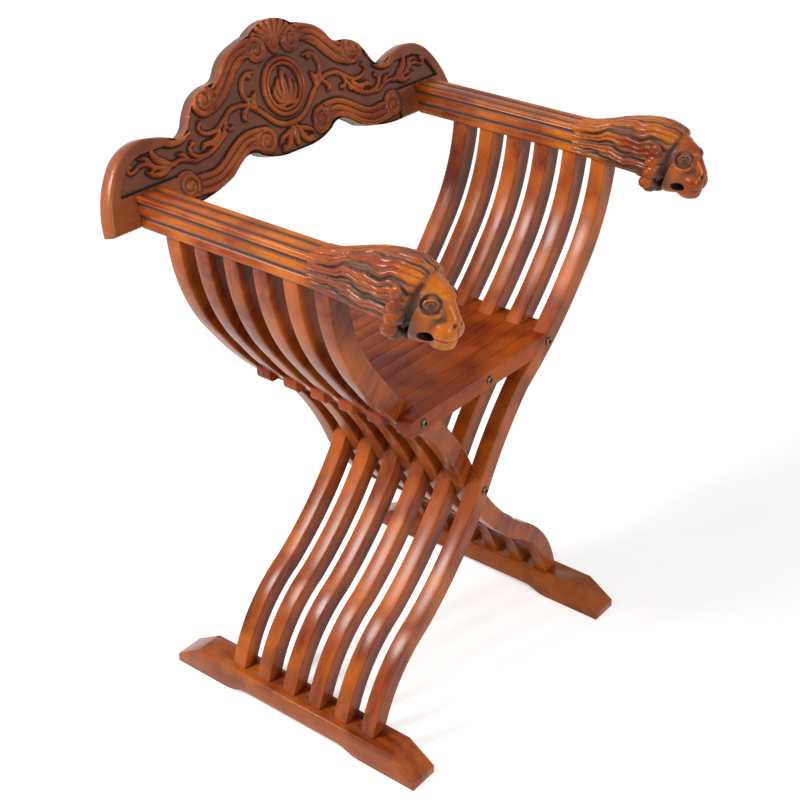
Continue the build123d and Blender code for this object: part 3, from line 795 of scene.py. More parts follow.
def bar_ring(back, corner=2.5, across_steps=33, up_steps=37):
    """The bar's section at a distance back, as points turning left seen from the front."""
    half = ARM_WIDTH / 2
    side = [(half - moulding(h, SIDE_COVES, (0, ARM_HEIGHT), back), h)
            for h in np.linspace(corner, ARM_HEIGHT - corner, up_steps)]
    bend = [(corner * cos(radians(a)), corner * sin(radians(a))) for a in (0, 22.5, 45, 67.5, 90)]
    foot = [(half - corner + c - moulding(corner, SIDE_COVES, (0, ARM_HEIGHT), back), corner - s)
            for c, s in bend[1:]]
    side += [(half - corner + c, ARM_HEIGHT - corner + s) for c, s in bend[1:4]]
    top = [(u, ARM_HEIGHT - moulding(u, TOP_COVES, (-half, half), back))
           for u in np.linspace(half - corner, corner - half, across_steps)]
    return foot[::-1] + side + top + [(-u, h) for u, h in side[::-1]] + [(-u, h) for u, h in foot]


def arm_bar(rear, hidden=12, lengths=12):
    """Points and faces of the bar, from under the mane to its end against the leaning back."""
    stops = [COVE_END - hidden] + [COVE_END - COVE_RADIUS * cos(radians(a)) for a in range(0, 91, 10)]
    backs = [*stops, *np.linspace(COVE_END, rear, lengths + 1)[1:]]
    rings = [bar_ring(back) for back in backs]
    count = len(rings[0])
    points = [(u, back + (h * tan(RAKE) if back == backs[-1] else 0), h)
              for back, ring in zip(backs, rings) for u, h in ring]
    front, end = tuple(range(count)), tuple(range(len(points) - 1, len(points) - count - 1, -1))
    return points, [front, *walls(0, len(rings), count), end]


def block(corners):
    """Points and faces of a six-sided block: four corners at one end, then four at the other."""
    return corners, [(0, 1, 2, 3), (7, 6, 5, 4), *walls(0, 2, 4)]


def boolean(piece, other, operation):
    """Cut a piece with another, or keep what they share, and drop the other."""
    cut = piece.modifiers.new("Cut", "BOOLEAN")
    cut.operation, cut.solver, cut.object = operation, "EXACT", other
    applied(piece, cut)
    bpy.data.objects.remove(other)
    return piece


def arm_places(points, side):
    """Places on an arm as places in the chair's frame. side is 1 for the right arm and -1 for the left."""
    u, q, h = np.asarray(points, float).T
    return np.stack([side * (ARM_OFFSET + u), STACK_MIDDLE - HEAD_REACH + q, ARM_BOTTOM + h], 1)


def facing(faces, side):
    """Faces for one side of the chair: mirrored ones are turned over."""
    return [tuple(face) if side > 0 else tuple(face)[::-1] for face in faces]


def cleat_wedge(fit, behind):
    """Corners of the half dovetail at an arm's outer rear corner, open at the top and outside."""
    corners = []
    for lift in (CLEAT_DEPTH + fit, -behind):
        inner = ARM_WIDTH / 2 - CLEAT_ROOT - lift * CLEAT_SPREAD / CLEAT_DEPTH - fit
        outer, top = ARM_WIDTH * 2, ARM_HEIGHT * 2
        foot = CLEAT_LIFT - fit + ARM_WIDTH / 2
        for u, v in ((inner, foot - inner), (outer, foot - outer), (outer, top), (inner, top)):
            corners.append((u, REAR - (lift - BACK_GAP) * cos(RAKE) + v * sin(RAKE),
                            (lift - BACK_GAP) * sin(RAKE) + v * cos(RAKE)))
    return corners


def moulded_end(name, side, rear, operation, fit, behind, material):
    """The bar with its notch cut out, or the cleat that fills it."""
    points, faces = arm_bar(rear)
    bar = new_piece(name, arm_places(points, side), facing(faces, side), material)
    corners, faces = block(cleat_wedge(fit, behind))
    wedge = new_piece("wedge", arm_places(corners, side), facing(faces, side), material)
    return boolean(bar, wedge, operation)


def taken(piece):
    """Points in millimetres and faces of a piece, which is then dropped."""
    points = np.array([v.co for v in piece.data.vertices]) / MM
    faces = [tuple(face.vertices) for face in piece.data.polygons]
    bpy.data.objects.remove(piece)
    return points, faces


def moulding_depth(points):
    """How deep in the coves each point of a bar lies, for its staining and painted shade."""
    across, above = np.abs(np.abs(points[:, 0]) - ARM_OFFSET), points[:, 2] - ARM_BOTTOM
    drop = np.minimum(ARM_WIDTH / 2 - across, ARM_HEIGHT - above)
    # staining and painted shade grow towards the bottom of the coves
    return np.where(above > 1, np.clip((drop - 0.5) / COVE_DEPTH, 0, COVE_STAIN_AND_SHADE), 0.0)


def gathered(*parts):
    """Several (points, faces, depth) as one."""
    points, faces, depth, start = [], [], [], 0
    for some, shape, deep in parts:
        points.append(some)
        faces += [tuple(start + int(i) for i in face) for face in shape]
        depth.append(deep)
        start += len(some)
    return np.concatenate(points), faces, np.concatenate(depth)


# ---- Carved back -------------------------------------------------------------------------------------
# Places on the panel are (across from the middle, up the leaning face from the arms' underside). Only the
# right half is listed. A stroke is (line, half widths along it).
BACK_THICKNESS = 20.0
GROUND = -5.0                # the dark ground, behind the panel's face
BAND = -2.4                  # bottom of the grooves between the reeds of a scroll
UP = Vector((0, sin(RAKE), cos(RAKE)))
OUT = Vector((0, -cos(RAKE), sin(RAKE)))

BANDS = (                    # flat beds of the scrolls, under their reeds
    (((24, 160), (40, 160), (58, 157), (70, 151), (82, 144), (93, 132), (104, 122), (116, 114), (130, 112)),
     (9, 10, 11.5, 11.5, 11, 11)),
    (((56, 44), (72, 49), (88, 49), (102, 42), (115, 35), (130, 27), (145, 21.5), (160, 20), (186, 21)),
     (10, 11.5, 12, 12, 12, 12)),
    (((138, 116), (142, 116)), (18, 18)),
    (((50, 38), (57, 40)), (14, 14)),
    (((28, 152), (34, 152)), (14, 14)),
    (((199, 27), (201, 27)), (17.5, 17.5)),
    (((0, 150), (0, 168)), (8, 17)),
    (((150, 126), (164, 126)), (10, 9)),
)
UPPER_REEDS = (
    (((122, 126), (114, 131), (104, 139), (92, 150.5), (80, 159), (66, 164), (50, 166.5), (34, 167)),
     (1.5, 3.4, 3.8, 3.8, 3.6, 3.4, 3.2)),
    (((128, 117), (120, 118), (110, 124.5), (100, 133), (90, 142.5), (79, 151), (67, 156.5), (56, 158.5),
      (47, 158)),
     (2.6, 3.6, 3.8, 3.8, 3.8, 3.4, 1.6)),
    (((50, 149), (62, 149), (72, 145), (82, 137), (91, 128), (101, 118), (113, 109), (126, 102.5),
      (141, 100)),
     (1.6, 3.6, 3.8, 3.8, 3.8, 3.6, 3.4)),
)
LOWER_REEDS = (
    (((181, 30), (172, 30), (158, 29), (145, 31), (130, 38), (115, 47), (100, 54.5), (85, 58.5), (70, 59),
      (54, 56.5)),
     (3.6, 3.8, 3.8, 3.8, 3.6, 3.4, 3.2)),
    (((181, 21.5), (160, 20.5), (145, 22), (130, 28), (115, 36), (101, 44), (88, 49.5), (77, 50), (69, 46)),
     (3.6, 3.8, 3.8, 3.8, 3.4, 1.6)),
    (((181, 12.5), (160, 11.5), (145, 13), (130, 19), (115, 28), (103, 35), (92, 39.5), (80, 40), (70, 36)),
     (3.6, 3.8, 3.8, 3.6, 1.6)),
    (((236, 95), (226, 90.5), (217, 84.5), (207, 80.5), (197, 79.5), (186, 81.5), (175, 86)),
     (6, 5.6, 5.0, 4.4, 3.6, 2.6, 0.8)),
)
VOLUTES = (                  # centre, first and last radius, angle where it starts, turns, half widths, eye
    ((33, 153), 14.0, 5.5, 90, 1.15, (3.6, 2.6), 5.6),
    ((141.5, 117), 17.0, 8.0, 270, 1.15, (4.2, 3.0), 7.6),
    ((54, 41), 15.5, 6.0, 90, 1.20, (3.8, 2.8), 6.0),
    ((198, 25), 15.0, 6.5, 215, -1.20, (3.6, 2.8), 6.4),
)
BUDS = ((156, 91, 3.0), (176, 72, 3.4), (106, 73, 3.2), (279, 72, 3.4), (212, 57, 3.6), (56, 125, 3.2),
        (26, 26, 3.4))       # round ends of the stems: across, up, radius
STEMS = (
    (((0, 52), (16, 54), (32, 62), (45, 74), (56, 83), (70, 91), (85, 95), (100, 93.5), (111, 87),
      (115, 78), (110, 71)), (3.4, 3.4, 3.4, 3.0, 2.8, 2.4, 1.8)),
    (((84, 95), (100, 95), (115, 86), (128, 78), (142, 76), (154, 79), (160, 86), (156, 91)),
     (1.4, 2.4, 2.8, 2.6, 2.2, 1.8)),
    (((113, 88), (118, 76), (127, 66), (140, 58), (155, 53), (169, 53.5), (179, 59), (182, 67), (176, 72)),
     (1.4, 2.4, 3.0, 3.0, 2.8, 2.4, 1.8)),
    (((160, 53), (175, 50.5), (188, 55), (200, 58.5), (211, 57)), (1.6, 2.4, 2.6, 2.4)),
    (((214, 57), (226, 56), (240, 61), (252, 68), (263, 69), (272, 65), (279, 64.5), (283, 70), (279, 74)),
     (2.6, 3.4, 3.0, 2.4, 2.2, 2.0, 1.4)),
    (((47, 128.5), (58, 129), (68, 123.5), (73, 113), (72, 103), (66, 97.5), (59, 99)),
     (1.6, 2.6, 3.6, 3.6, 2.8, 1.6)),
    (((168, 104), (174, 99), (184, 94), (196, 92)), (1.6, 3.2, 3.4, 1.2)),
    (((163, 121), (170, 117), (177, 110)), (1.2, 3.0, 1.0)),
)
LEAVES = (                   # acanthus lobes
    (((57, 84), (60, 90), (58, 97), (53, 105)), (2.0, 4.6, 4.0, 0.8)),
    (((60, 85), (68, 92), (70, 99)), (1.8, 3.6, 0.8)),
    (((72, 89), (79, 84), (82, 78), (77, 75)), (1.8, 3.2, 2.6, 1.0)),
    (((128, 79), (130, 71), (137, 66), (146, 65), (152, 68)), (1.8, 3.8, 4.0, 3.0, 0.8)),
    (((120, 75), (122, 68), (129, 63)), (1.6, 3.4, 0.8)),
    (((140, 59), (146, 64), (156, 65), (163, 60)), (1.4, 3.2, 3.2, 0.8)),
    (((216, 58), (226, 63), (236, 70), (241, 79), (240, 84)), (2.0, 4.2, 4.4, 2.8, 0.8)),
    (((217, 56), (231, 51.5), (245, 53), (256, 59)), (1.8, 3.4, 3.2, 0.8)),
    (((226, 58), (240, 60), (252, 57)), (1.4, 2.6, 0.8)),
    (((245, 65), (252, 74), (262, 77)), (1.6, 3.0, 0.8)),
    (((188, 56), (195, 63), (204, 66)), (1.6, 2.8, 0.8)),
    (((3, 48), (9, 40), (13, 31), (20, 24), (28, 22.5)), (1.6, 3.6, 4.0, 3.4, 2.4)),
    (((0, 46), (0, 37), (0, 24)), (1.6, 5.2, 2.4)),
    (((6, 45), (18, 40), (28, 36), (34, 30)), (1.4, 3.0, 2.4, 0.8)),
    # the leaf in the medallion
    (((0, 77), (0, 90), (0, 106), (0, 121)), (2.6, 5.4, 4.8, 0.8)),
    (((2, 80), (9, 89), (12, 100), (9, 111)), (2.0, 3.8, 3.6, 0.8)),
    (((2, 78), (13, 83), (19, 92), (19, 102)), (1.8, 3.4, 3.0, 0.8)),
    (((2, 77), (12, 76.5), (20, 80)), (1.6, 2.8, 0.8)),
)
SHELL = (                    # flutes of the crest's shell
    (((0, 164), (0, 174), (0, 183)), (2.4, 3.8, 4.4)),
    (((3.5, 164.5), (7.8, 173), (12, 181)), (2.2, 3.6, 4.2)),
    (((6.5, 163.5), (14.5, 170.5), (22.5, 177.5)), (2.0, 3.4, 4.0)),
    (((8.5, 162), (19.5, 166.5), (31, 171.5)), (1.8, 3.0, 3.6)),
    (((0, 157), (0, 160)), (8.0, 8.5)),
)
RINGS = ((36.0, 35.4, 3.3), (29.9, 29.3, 2.6))       # half axes of the medallion's beads, half width
MEDALLION = (0.0, 99.5)
RIM_NECK, RIM_WING = 8.5, 15.5       # width of the rim at the neck and round the wing
WING = (205.0, 245.0)                # where the rim grows from one to the other
RIM_START = 211.0            # the rim is plain from here out; nearer the middle the carving meets the edge
LEDGE = (212.0, 41.5)        # the plain field outside this, below this
LEDGE_LEVEL = -0.05          # its height over the panel's face
RIM_STAIN, WALL_STAIN, REAR_STAIN = 0.30, 0.62, 0.12     # on rim and ledge, on the board's edge, behind
GROUND_STAIN_AND_SHADE = 0.42          # on the ground between the carving: staining and painted shade, more where it lies deeper

# Foot and top of each kind of carving, from the panel's face, and what goes over or under them all.
BED, REED, STEM, LEAF = (BAND - 0.6, BAND), (BAND, 0.2), (GROUND, -0.8), (GROUND + 1, 0.0)
COIL, COIL_EYE, BUD, BEAD = (BAND - 0.8, 0.5), (BAND - 1.2, 0.5), (BAND - 1, 0.4), (GROUND - 0.2, -0.2)
FLAT_TOP = 6.0               # power that makes a stroke's section nearly flat, where 2 is round
FULLNESS = 1.12              # how much wider stems and leaves are than their lines say
PROUD = 0.6                  # highest carving above the panel's face
FRONT_EASE = 3.0             # rounding of the face's edge


def smooth_line(points, count=90):
    """Many points on a smooth line through a few."""
    knots = np.asarray(points, float)
    knots = np.concatenate([[2 * knots[0] - knots[1]], knots, [2 * knots[-1] - knots[-2]]])
    at = np.linspace(0, len(knots) - 3.001, count)
    i, t = at.astype(int), (at % 1)[:, None]
    a, b, c, d = (knots[i + k] for k in range(4))
    square, cube = 2 * a - 5 * b + 4 * c - d, 3 * b - a - 3 * c + d
    return 0.5 * (2 * b + (c - a) * t + square * t ** 2 + cube * t ** 3)


def spiral(centre, first, last, start, turns, count=26):
    """Points of a volute that winds in from one radius to another; negative turns go clockwise."""
    share = np.linspace(0, 1, count)
    angle = radians(start) + 2 * pi * turns * share
    radius = first + (last - first) * share
    return np.stack([centre[0] + radius * np.cos(angle), centre[1] + radius * np.sin(angle)], 1)


def raise_stroke(height, x, v, line, widths, foot, top, power=2.0):
    """Raise a rounded ridge along a line, from a foot level to its top."""
    line = smooth_line(line)
    half = np.interp(np.linspace(0, 1, len(line)), np.linspace(0, 1, len(widths)), widths)
    reach = max(widths)
    (low_x, low_v), (high_x, high_v) = line.min(0) - reach, line.max(0) + reach
    near = (x > low_x) & (x < high_x) & (v > low_v) & (v < high_v)
    share = np.full(near.sum(), np.inf)
    for (cx, cv), w in zip(line, half):
        share = np.minimum(share, ((x[near] - cx) ** 2 + (v[near] - cv) ** 2) / w ** 2)
    ridge = foot + (top - foot) * np.clip(1 - share ** (power / 2), 0, 1) ** (1 / power)
    height[near] = np.maximum(height[near], np.where(share < 1, ridge, -np.inf))


def raise_button(height, x, v, centre, radius, foot, top):
    """Raise a round button: a very short ridge."""
    raise_stroke(height, x, v, (centre, (centre[0] + 0.1, centre[1])), (radius, radius), foot, top)


def rim_share(x, edge):
    """Share of the way across the wing's plain rim, and which places lie on it."""
    grow = np.clip((x - WING[0]) / (WING[1] - WING[0]), 0, 1)
    rim = RIM_NECK + (RIM_WING - RIM_NECK) * grow * grow * (3 - 2 * grow)
    return np.clip(edge / rim, 0, 1), (edge < rim) & (x > RIM_START)


def relief(x, v, edge):
    """Height of the carving at places on the panel, where edge is the distance inside its outline."""
    x = np.abs(x)
    height = GROUND + 0.12 * np.sin(x / 4.1 + 2 * np.sin(v / 5.3)) * np.sin(v / 3.7)
    across, on_rim = rim_share(x, edge)
    crown = -0.9 * np.abs(2 * across - 1) ** 3
    height = np.where(on_rim, crown, height)
    ledge = (x > LEDGE[0]) & (v < LEDGE[1]) & (edge > FRONT_EASE)
    height = np.where(ledge, np.maximum(height, LEDGE_LEVEL), height)
    for strokes, (foot, top), fullness, power in (
            (BANDS, BED, 1, FLAT_TOP), (UPPER_REEDS + LOWER_REEDS, REED, 1, 2.0),
            (STEMS, STEM, FULLNESS, 2.0), (LEAVES + SHELL, LEAF, FULLNESS, 2.0)):
        for line, widths in strokes:
            raise_stroke(height, x, v, line, fullness * np.array(widths), foot, top, power)
    for centre, first, last, start, turns, widths, eye in VOLUTES:
        clear = np.hypot(x - centre[0], v - centre[1]) < first + widths[0]
        height = np.where(clear, np.minimum(height, BAND), height)
        raise_stroke(height, x, v, spiral(centre, first, last, start, turns), widths, *COIL)
        raise_button(height, x, v, centre, eye, *COIL_EYE)
    for *place, radius in BUDS:
        raise_button(height, x, v, place, radius, *BUD)
    for wide, tall, half in RINGS:
        turn = np.hypot((x - MEDALLION[0]) / wide, (v - MEDALLION[1]) / tall)
        off = np.minimum(np.abs(turn - 1) * (wide + tall) / 2 / half, 1)
        height = np.maximum(height, BEAD[0] + (BEAD[1] - BEAD[0]) * np.sqrt(1 - off ** 2))
    inset = np.clip(edge, 0, FRONT_EASE)
    return np.minimum(height, PROUD) - (FRONT_EASE - np.sqrt(FRONT_EASE ** 2 - (FRONT_EASE - inset) ** 2))


def outline_distance(loop, x, v):
    """Distance inside a loop, negative outside, and how far round the loop the nearest place is."""
    places = np.stack([x, v], 1)
    best, turns, inside = np.full(len(x), 1e9), np.zeros(len(x)), np.zeros(len(x), bool)
    gone = 0.0
    for start, end in zip(loop, np.roll(loop, -1, axis=0)):
        along = end - start
        share = np.clip((places - start) @ along / max(along @ along, 1e-12), 0, 1)
        foot = start + share[:, None] * along
        away = ((places - foot) ** 2).sum(1)
        closer = away < best
        length = np.hypot(*along)
        best[closer], turns[closer] = away[closer], gone + share[closer] * length
        gone += length
        crosses = (start[1] > v) != (end[1] > v)
        if crosses.any():
            cut = start[0] + (v - start[1]) * along[0] / (along[1] if along[1] else 1e-12)
            inside ^= crosses & (x < cut)
    return np.where(inside, 1, -1) * np.sqrt(best), turns


def in_order(turns, loop, gap=0.02):
    """Places on a loop from how far round it they are, kept in order where neighbours had crossed."""
    closed = np.concatenate([loop, loop[:1]])
    gone = np.concatenate([[0], np.cumsum(np.hypot(*np.diff(closed, axis=0).T))])
    steps = np.diff(turns, prepend=turns[0])
    steps -= gone[-1] * np.round(steps / gone[-1])
    least = gap * np.arange(len(turns))
    turns = (turns[0] + np.maximum.accumulate(np.cumsum(steps) - least) + least) % gone[-1]
    return np.interp(turns, gone, closed[:, 0]), np.interp(turns, gone, closed[:, 1])


def softened(height, times):
    """A grid of heights with its detail smoothed away."""
    for _ in range(times):
        wide = np.pad(height, 1, mode="edge")
        height = (wide[:-2, 1:-1] + wide[2:, 1:-1] + wide[1:-1, :-2] + wide[1:-1, 2:] + 4 * height) / 8
    return height


def grid_faces(kept):
    """Faces of a grid's kept points: quads, and triangles where one corner isn't kept."""
    index = np.arange(kept.size).reshape(kept.shape)
    near, far = slice(None, -1), slice(1, None)
    cells = ((near, near), (far, near), (far, far), (near, far))
    corners, held = (np.stack([grid[cell] for cell in cells], -1) for grid in (index, kept))
    faces = [tuple(quad) for quad in corners[held.all(-1)]]
    return faces + [tuple(i for i in quad if kept.ravel()[i]) for quad in corners[held.sum(-1) == 3]]


def open_edge(faces):
    """The points round a mesh's open edge, in order."""
    ways = {(i, j) for face in faces for i, j in zip(face, face[1:] + face[:1])}
    ahead = {i: j for i, j in ways if (j, i) not in ways}
    rim = [next(iter(ahead))]
    while ahead[rim[-1]] != rim[0]:
        rim.append(ahead[rim[-1]])
    return np.array(rim)


def board_stain_and_shade(x, v, edge, height, kept):
    """How dark the panel's face is made: staining and painted shade on its ground and in dips, a darker tone
    on the plain rim and ledge.
    """
    grid = np.where(kept, height.reshape(kept.shape), GROUND)
    # the deep ground and the dips in the relief get staining and painted shade
    dips = (softened(grid, 10) - grid).ravel()
    depth = np.clip((-2.6 - height) / 2.0, 0, 1) * GROUND_STAIN_AND_SHADE + np.clip(dips, -0.15, 0.75)
    plain = rim_share(np.abs(x), edge)[1] | ((np.abs(x) > WING[0]) & (v < LEDGE[1]))
    return np.where(plain, np.maximum(depth, RIM_STAIN), depth)


def carved_board(loop, step, rear_ease=1.5):
    """Points (x, up, out), faces and darkening of the panel, partly staining and partly painted shade: relief
    in front, plain at the rear.
    """
    reach, top, low = np.abs(loop[:, 0]).max(), loop[:, 1].max(), loop[:, 1].min()
    columns = np.arange(-int(reach / step) - 1, int(reach / step) + 2) * step
    rows = np.arange(low - step, top + 2 * step, step)
    x, v = (g.ravel() for g in np.meshgrid(columns, rows, indexing="ij"))
    edge, turns = outline_distance(loop, x, v)
    # points up to nearly half a cell outside are kept too, and the outermost are moved onto the outline
    kept = (edge > -0.45 * step).reshape(len(columns), len(rows))
    faces = grid_faces(kept)
    rim = open_edge(faces)
    x[rim], v[rim] = in_order(turns[rim], loop)
    edge[rim] = 0
    height = relief(x, v, np.maximum(edge, 0))
    height[rim] = GROUND / 2
    depth = board_stain_and_shade(x, v, edge, height, kept)
    depth[rim] = RIM_STAIN

    used = np.unique(np.concatenate([np.ravel(face) for face in faces]))
    again = np.full(x.size, -1)
    again[used] = np.arange(len(used))
    points = list(np.stack([x, v, height], 1)[used])
    faces = [tuple(again[list(face)]) for face in faces]
    # the board's edge, then its eased rear corner, then its rear
    ring, loop_in = again[rim], np.stack([x[rim], v[rim]], 1)
    for inset, rise in rear_ease * np.array(((0, 1), (0.3, 0.3), (1, 0))):
        lower = len(points) + np.arange(len(ring))
        inner = turned_in(loop, inset)
        places = zip(*in_order(outline_distance(inner, *loop_in.T)[1], inner))
        points += [(across, up, rise - BACK_THICKNESS) for across, up in places]
        faces += [(j, i, p, q) for i, j, p, q in zip(ring, np.roll(ring, -1), lower, np.roll(lower, -1))]
        ring = lower
    back = [Vector((*points[i][:2], 0)) for i in ring]
    triangles = tessellate_polygon([back])
    turning = sum((back[two] - back[one]).cross(back[three] - back[one]).z for one, two, three in triangles)
    order = -1 if turning > 0 else 1
    faces += [tuple(int(ring[i]) for i in corners[::order]) for corners in triangles]
    wall = np.array([WALL_STAIN if abs(p[0]) < WING[0] else RIM_STAIN for p in points[len(used):]])
    wall[-len(rim):] = REAR_STAIN
    return np.array(points, float), faces, np.concatenate([depth[used], wall])


def panel_foot(face_out):
    """Where the panel's middle line, on its face, is level with the arms' underside."""
    up, out, foot = np.array(UP), np.array(OUT), np.array((0, 0, ARM_BOTTOM))
    foot = foot + out * (face_out - foot @ out)
    return foot - up * ((foot[2] - ARM_BOTTOM) / up[2])


def panel_places(points, face_out):
    """Places on the panel as places in the chair's frame."""
    return panel_foot(face_out) + points @ np.array([(1, 0, 0), UP, OUT])


# ---- Operators: one for each group of pieces -------------------------------------------------------
class CHAIR_OT_ribs(bpy.types.Operator):
    """Make both sets of S-shaped ribs with eased edges"""
    bl_idname = "chair.ribs"
    bl_label = "Ribs"

    def execute(self, context):
        ease = context.scene.chair_sizes.rib_ease / MM
        for side in ("right", "left"):
            nodes = [f"{side}_arm_rib_{i + 1}" for i in range(RIBS)]
            ribs = row_of(f"{side}_arm_ribs", nodes, flat_loops(nodes[0]), ease, wood("ribs"))
            finish(ribs, f"{side}_frame", "frame_wood", *nodes)
        return {"FINISHED"}


class CHAIR_OT_seat(bpy.types.Operator):
    """Make the twelve seat boards with eased edges"""
    bl_idname = "chair.seat"
    bl_label = "Seat boards"

    def execute(self, context):
        ease = context.scene.chair_sizes.board_ease / MM
        for side in ("left", "right"):
            nodes = [f"seat_board_{side}_{i + 1}" for i in range(RIBS)]
            outline, *holes = flat_loops(nodes[0])
            outline = rounded_end(outline, BOARD_END) if side == "left" else outline
            boards = row_of(f"{side}_seat_boards", nodes, [outline, *holes], ease, wood("seat"), SHARP_BOARD)
            finish(boards, f"{side}_seat", "seat_wood", *nodes)
        return {"FINISHED"}


class CHAIR_OT_runners(bpy.types.Operator):
    """Make both runners with eased edges"""
    bl_idname = "chair.runners"
    bl_label = "Runners"

    def execute(self, context):
        ease = context.scene.chair_sizes.runner_ease / MM
        clear = Vector((1, 1, 1)) * TENON_CLEAR * MM
        for side, arm in (("left", "right"), ("right", "left")):
            feet = [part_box(f"{arm}_arm_rib_{i + 1}") for i in range(RIBS)]
            feet = [(low - clear, high + clear) for low, high in feet]
            runner = eased_copy(f"{side}_sled", f"{side}_runner", ease, wood("rails"), feet)
            finish(runner, f"{arm}_frame", "frame_wood", f"{side}_runner")
        return {"FINISHED"}


class CHAIR_OT_arms(bpy.types.Operator):
    """Make both armrests: a moulded bar and a carved lion's head"""
    bl_idname = "chair.arms"
    bl_label = "Armrests"

    def execute(self, context):
        grid = context.scene.chair_sizes.head_grid / MM
        head, quads = skin(head_form, *HEAD_BOX, grid)
        depth = head_stain_and_shade(head)
        for side, name in ((1, "right"), (-1, "left")):
            bar, faces = taken(
                moulded_end("bar", side, REAR, "DIFFERENCE", NOTCH_FIT, NOTCH_PAST, wood("arms")))
            points, faces, hollow = gathered((arm_places(head, side), facing(quads, side), depth),
                                             (bar, faces, moulding_depth(bar)))
            arm = new_piece(f"{name}_arm", points, faces, wood("arms"), SHARP_CARVED, hollow)
            finish(arm, f"{name}_frame", "arm_wood", f"{name}_armrest")
        return {"FINISHED"}


class CHAIR_OT_back(bpy.types.Operator):
    """Carve the leaning back panel and its two cleats"""
    bl_idname = "chair.back"
    bl_label = "Carved back"

    def execute(self, context):
        loop = flat_loops("back_panel", -OUT, (1, 0, 0), UP)[0]
        corners = np.array([v.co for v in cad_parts["back_panel"].data.vertices]) / MM
        face_out = (corners @ np.array(OUT)).min() + BACK_THICKNESS
        loop[:, 1] -= panel_foot(face_out) @ np.array(UP)
        loop = loop if area(loop) > 0 else loop[::-1]
        board, faces, depth = carved_board(loop, context.scene.chair_sizes.relief_grid / MM)
        parts = [(panel_places(board, face_out), faces, depth)]
        for side in (1, -1):
            cleat, shape = taken(
                moulded_end("cleat", side, REAR + CLEAT_STOCK, "INTERSECT", 0, CLEAT_SUNK, wood("back")))
            parts.append((cleat, shape, moulding_depth(cleat)))
        points, faces, hollow = gathered(*parts)
        panel = new_piece("carved_back", points, faces, wood("back"), SHARP_CARVED, hollow)
        finish(panel, "backrest", "carved_wood", "back_panel")
        return {"FINISHED"}


class CHAIR_OT_cad_finish(bpy.types.Operator):
    """Give the rods their metal: every CAD node whose name holds rod"""
    bl_idname = "chair.cad_finish"
    bl_label = "Rods and nuts"

    def execute(self, context):
        steel = bronzed_steel()
        for name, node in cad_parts.items():
            if "rod" in name:
                set_material(node, steel)
        return {"FINISHED"}


# ---- Stage -----------------------------------------------------------------------------------------
AIM_FORWARD, AIM_HEIGHT = 38.8, 450.0        # the camera's aim: in front of the rib stack's middle, up
SENSOR = 36.0                                # width of the camera's sensor
SHIFT = (-0.0357, -0.0382)                   # the picture's shift across and up, in picture widths
FLOOR_SPAN = 30.0                            # metres from the chair to the floor's edges
FLOOR_GLOW = ((1.0, 0.5), (3.5, 0.85))       # metres from the chair, and the floor's own light there
ROOM_LIGHT = 0.26                            # the world's light on the chair
LAMPS = (                                    # name, place, size and watts
    ("Key", (-1.35, 0.85, 1.75), 0.55, 44), ("Front", (-0.8, -1.95, 1.45), 0.8, 29),
    ("Top", (0.2, -0.2, 2.6), 1.2, 3.5))


def white_rays(tree):
    """1 where a ray shows the white background: from the camera, a mirror or glass. 0 elsewhere."""
    rays = add(tree, "ShaderNodeLightPath").outputs
    seen = rays["Is Camera Ray"]
    for ray in ("Is Glossy Ray", "Is Transmission Ray"):
        seen = add(tree, "ShaderNodeMath", {"operation": "MAXIMUM"}, {0: seen, 1: rays[ray]}).outputs[0]
    return seen


def set_camera(scene):
    """The camera, turned about the middle of the chair."""
    view = scene.chair_view
    target = Vector((0, (STACK_MIDDLE - AIM_FORWARD) * MM, AIM_HEIGHT * MM))
    back = Vector((sin(view.azimuth) * cos(view.elevation), -cos(view.azimuth) * cos(view.elevation),
                   sin(view.elevation)))
    turn = (Matrix.Rotation(view.azimuth, 4, "Z") @ Matrix.Rotation(pi / 2 - view.elevation, 4, "X")
            @ Matrix.Rotation(view.roll, 4, "Z"))
    camera = bpy.data.objects.new("Camera", bpy.data.cameras.new("Camera"))
    camera.matrix_world = Matrix.Translation(target + back * view.distance) @ turn
    camera.data.sensor_width = SENSOR
    camera.data.lens = view.lens
    camera.data.shift_x, camera.data.shift_y = SHIFT
    scene.collection.objects.link(camera)
    scene.camera = camera


def pale_floor():
    """Matt pale grey paper that takes the chair's shadow, and glows white where it is seen."""
    material, tree = empty_material("Pale floor")
    (near, dim), (far, bright) = FLOOR_GLOW
    plain = add(tree, "ShaderNodeBsdfDiffuse", {}, {"Color": linear("#E8E8E8")})
    place = add(tree, "ShaderNodeTexCoord").outputs["Object"]
    away = add(tree, "ShaderNodeVectorMath", {"operation": "LENGTH"}, {0: place}).outputs["Value"]
    glow = add(tree, "ShaderNodeMapRange", {}, {
        "Value": away, "From Min": near, "From Max": far, "To Min": dim, "To Max": bright}).outputs[0]
    white = add(tree, "ShaderNodeEmission", {}, {"Color": (1, 1, 1, 1), "Strength": glow})
    both = add(tree, "ShaderNodeAddShader", {}, {0: plain.outputs[0], 1: white.outputs[0]})
    surface = add(tree, "ShaderNodeMixShader", {}, {0: white_rays(tree), 1: plain.outputs[0],
                                                    2: both.outputs[0]})
    add(tree, "ShaderNodeOutputMaterial", {}, {"Surface": surface.outputs[0]})
    return material


def lay_floor(scene):
    """A square floor under the chair."""
    floor = bpy.data.meshes.new("Floor")
    corners = [(x * FLOOR_SPAN, y * FLOOR_SPAN, 0) for x, y in ((-1, -1), (1, -1), (1, 1), (-1, 1))]
    floor.from_pydata(corners, [], [(0, 1, 2, 3)])
    floor.materials.append(pale_floor())
    ground = bpy.data.objects.new("Floor", floor)
    scene.collection.objects.link(ground)


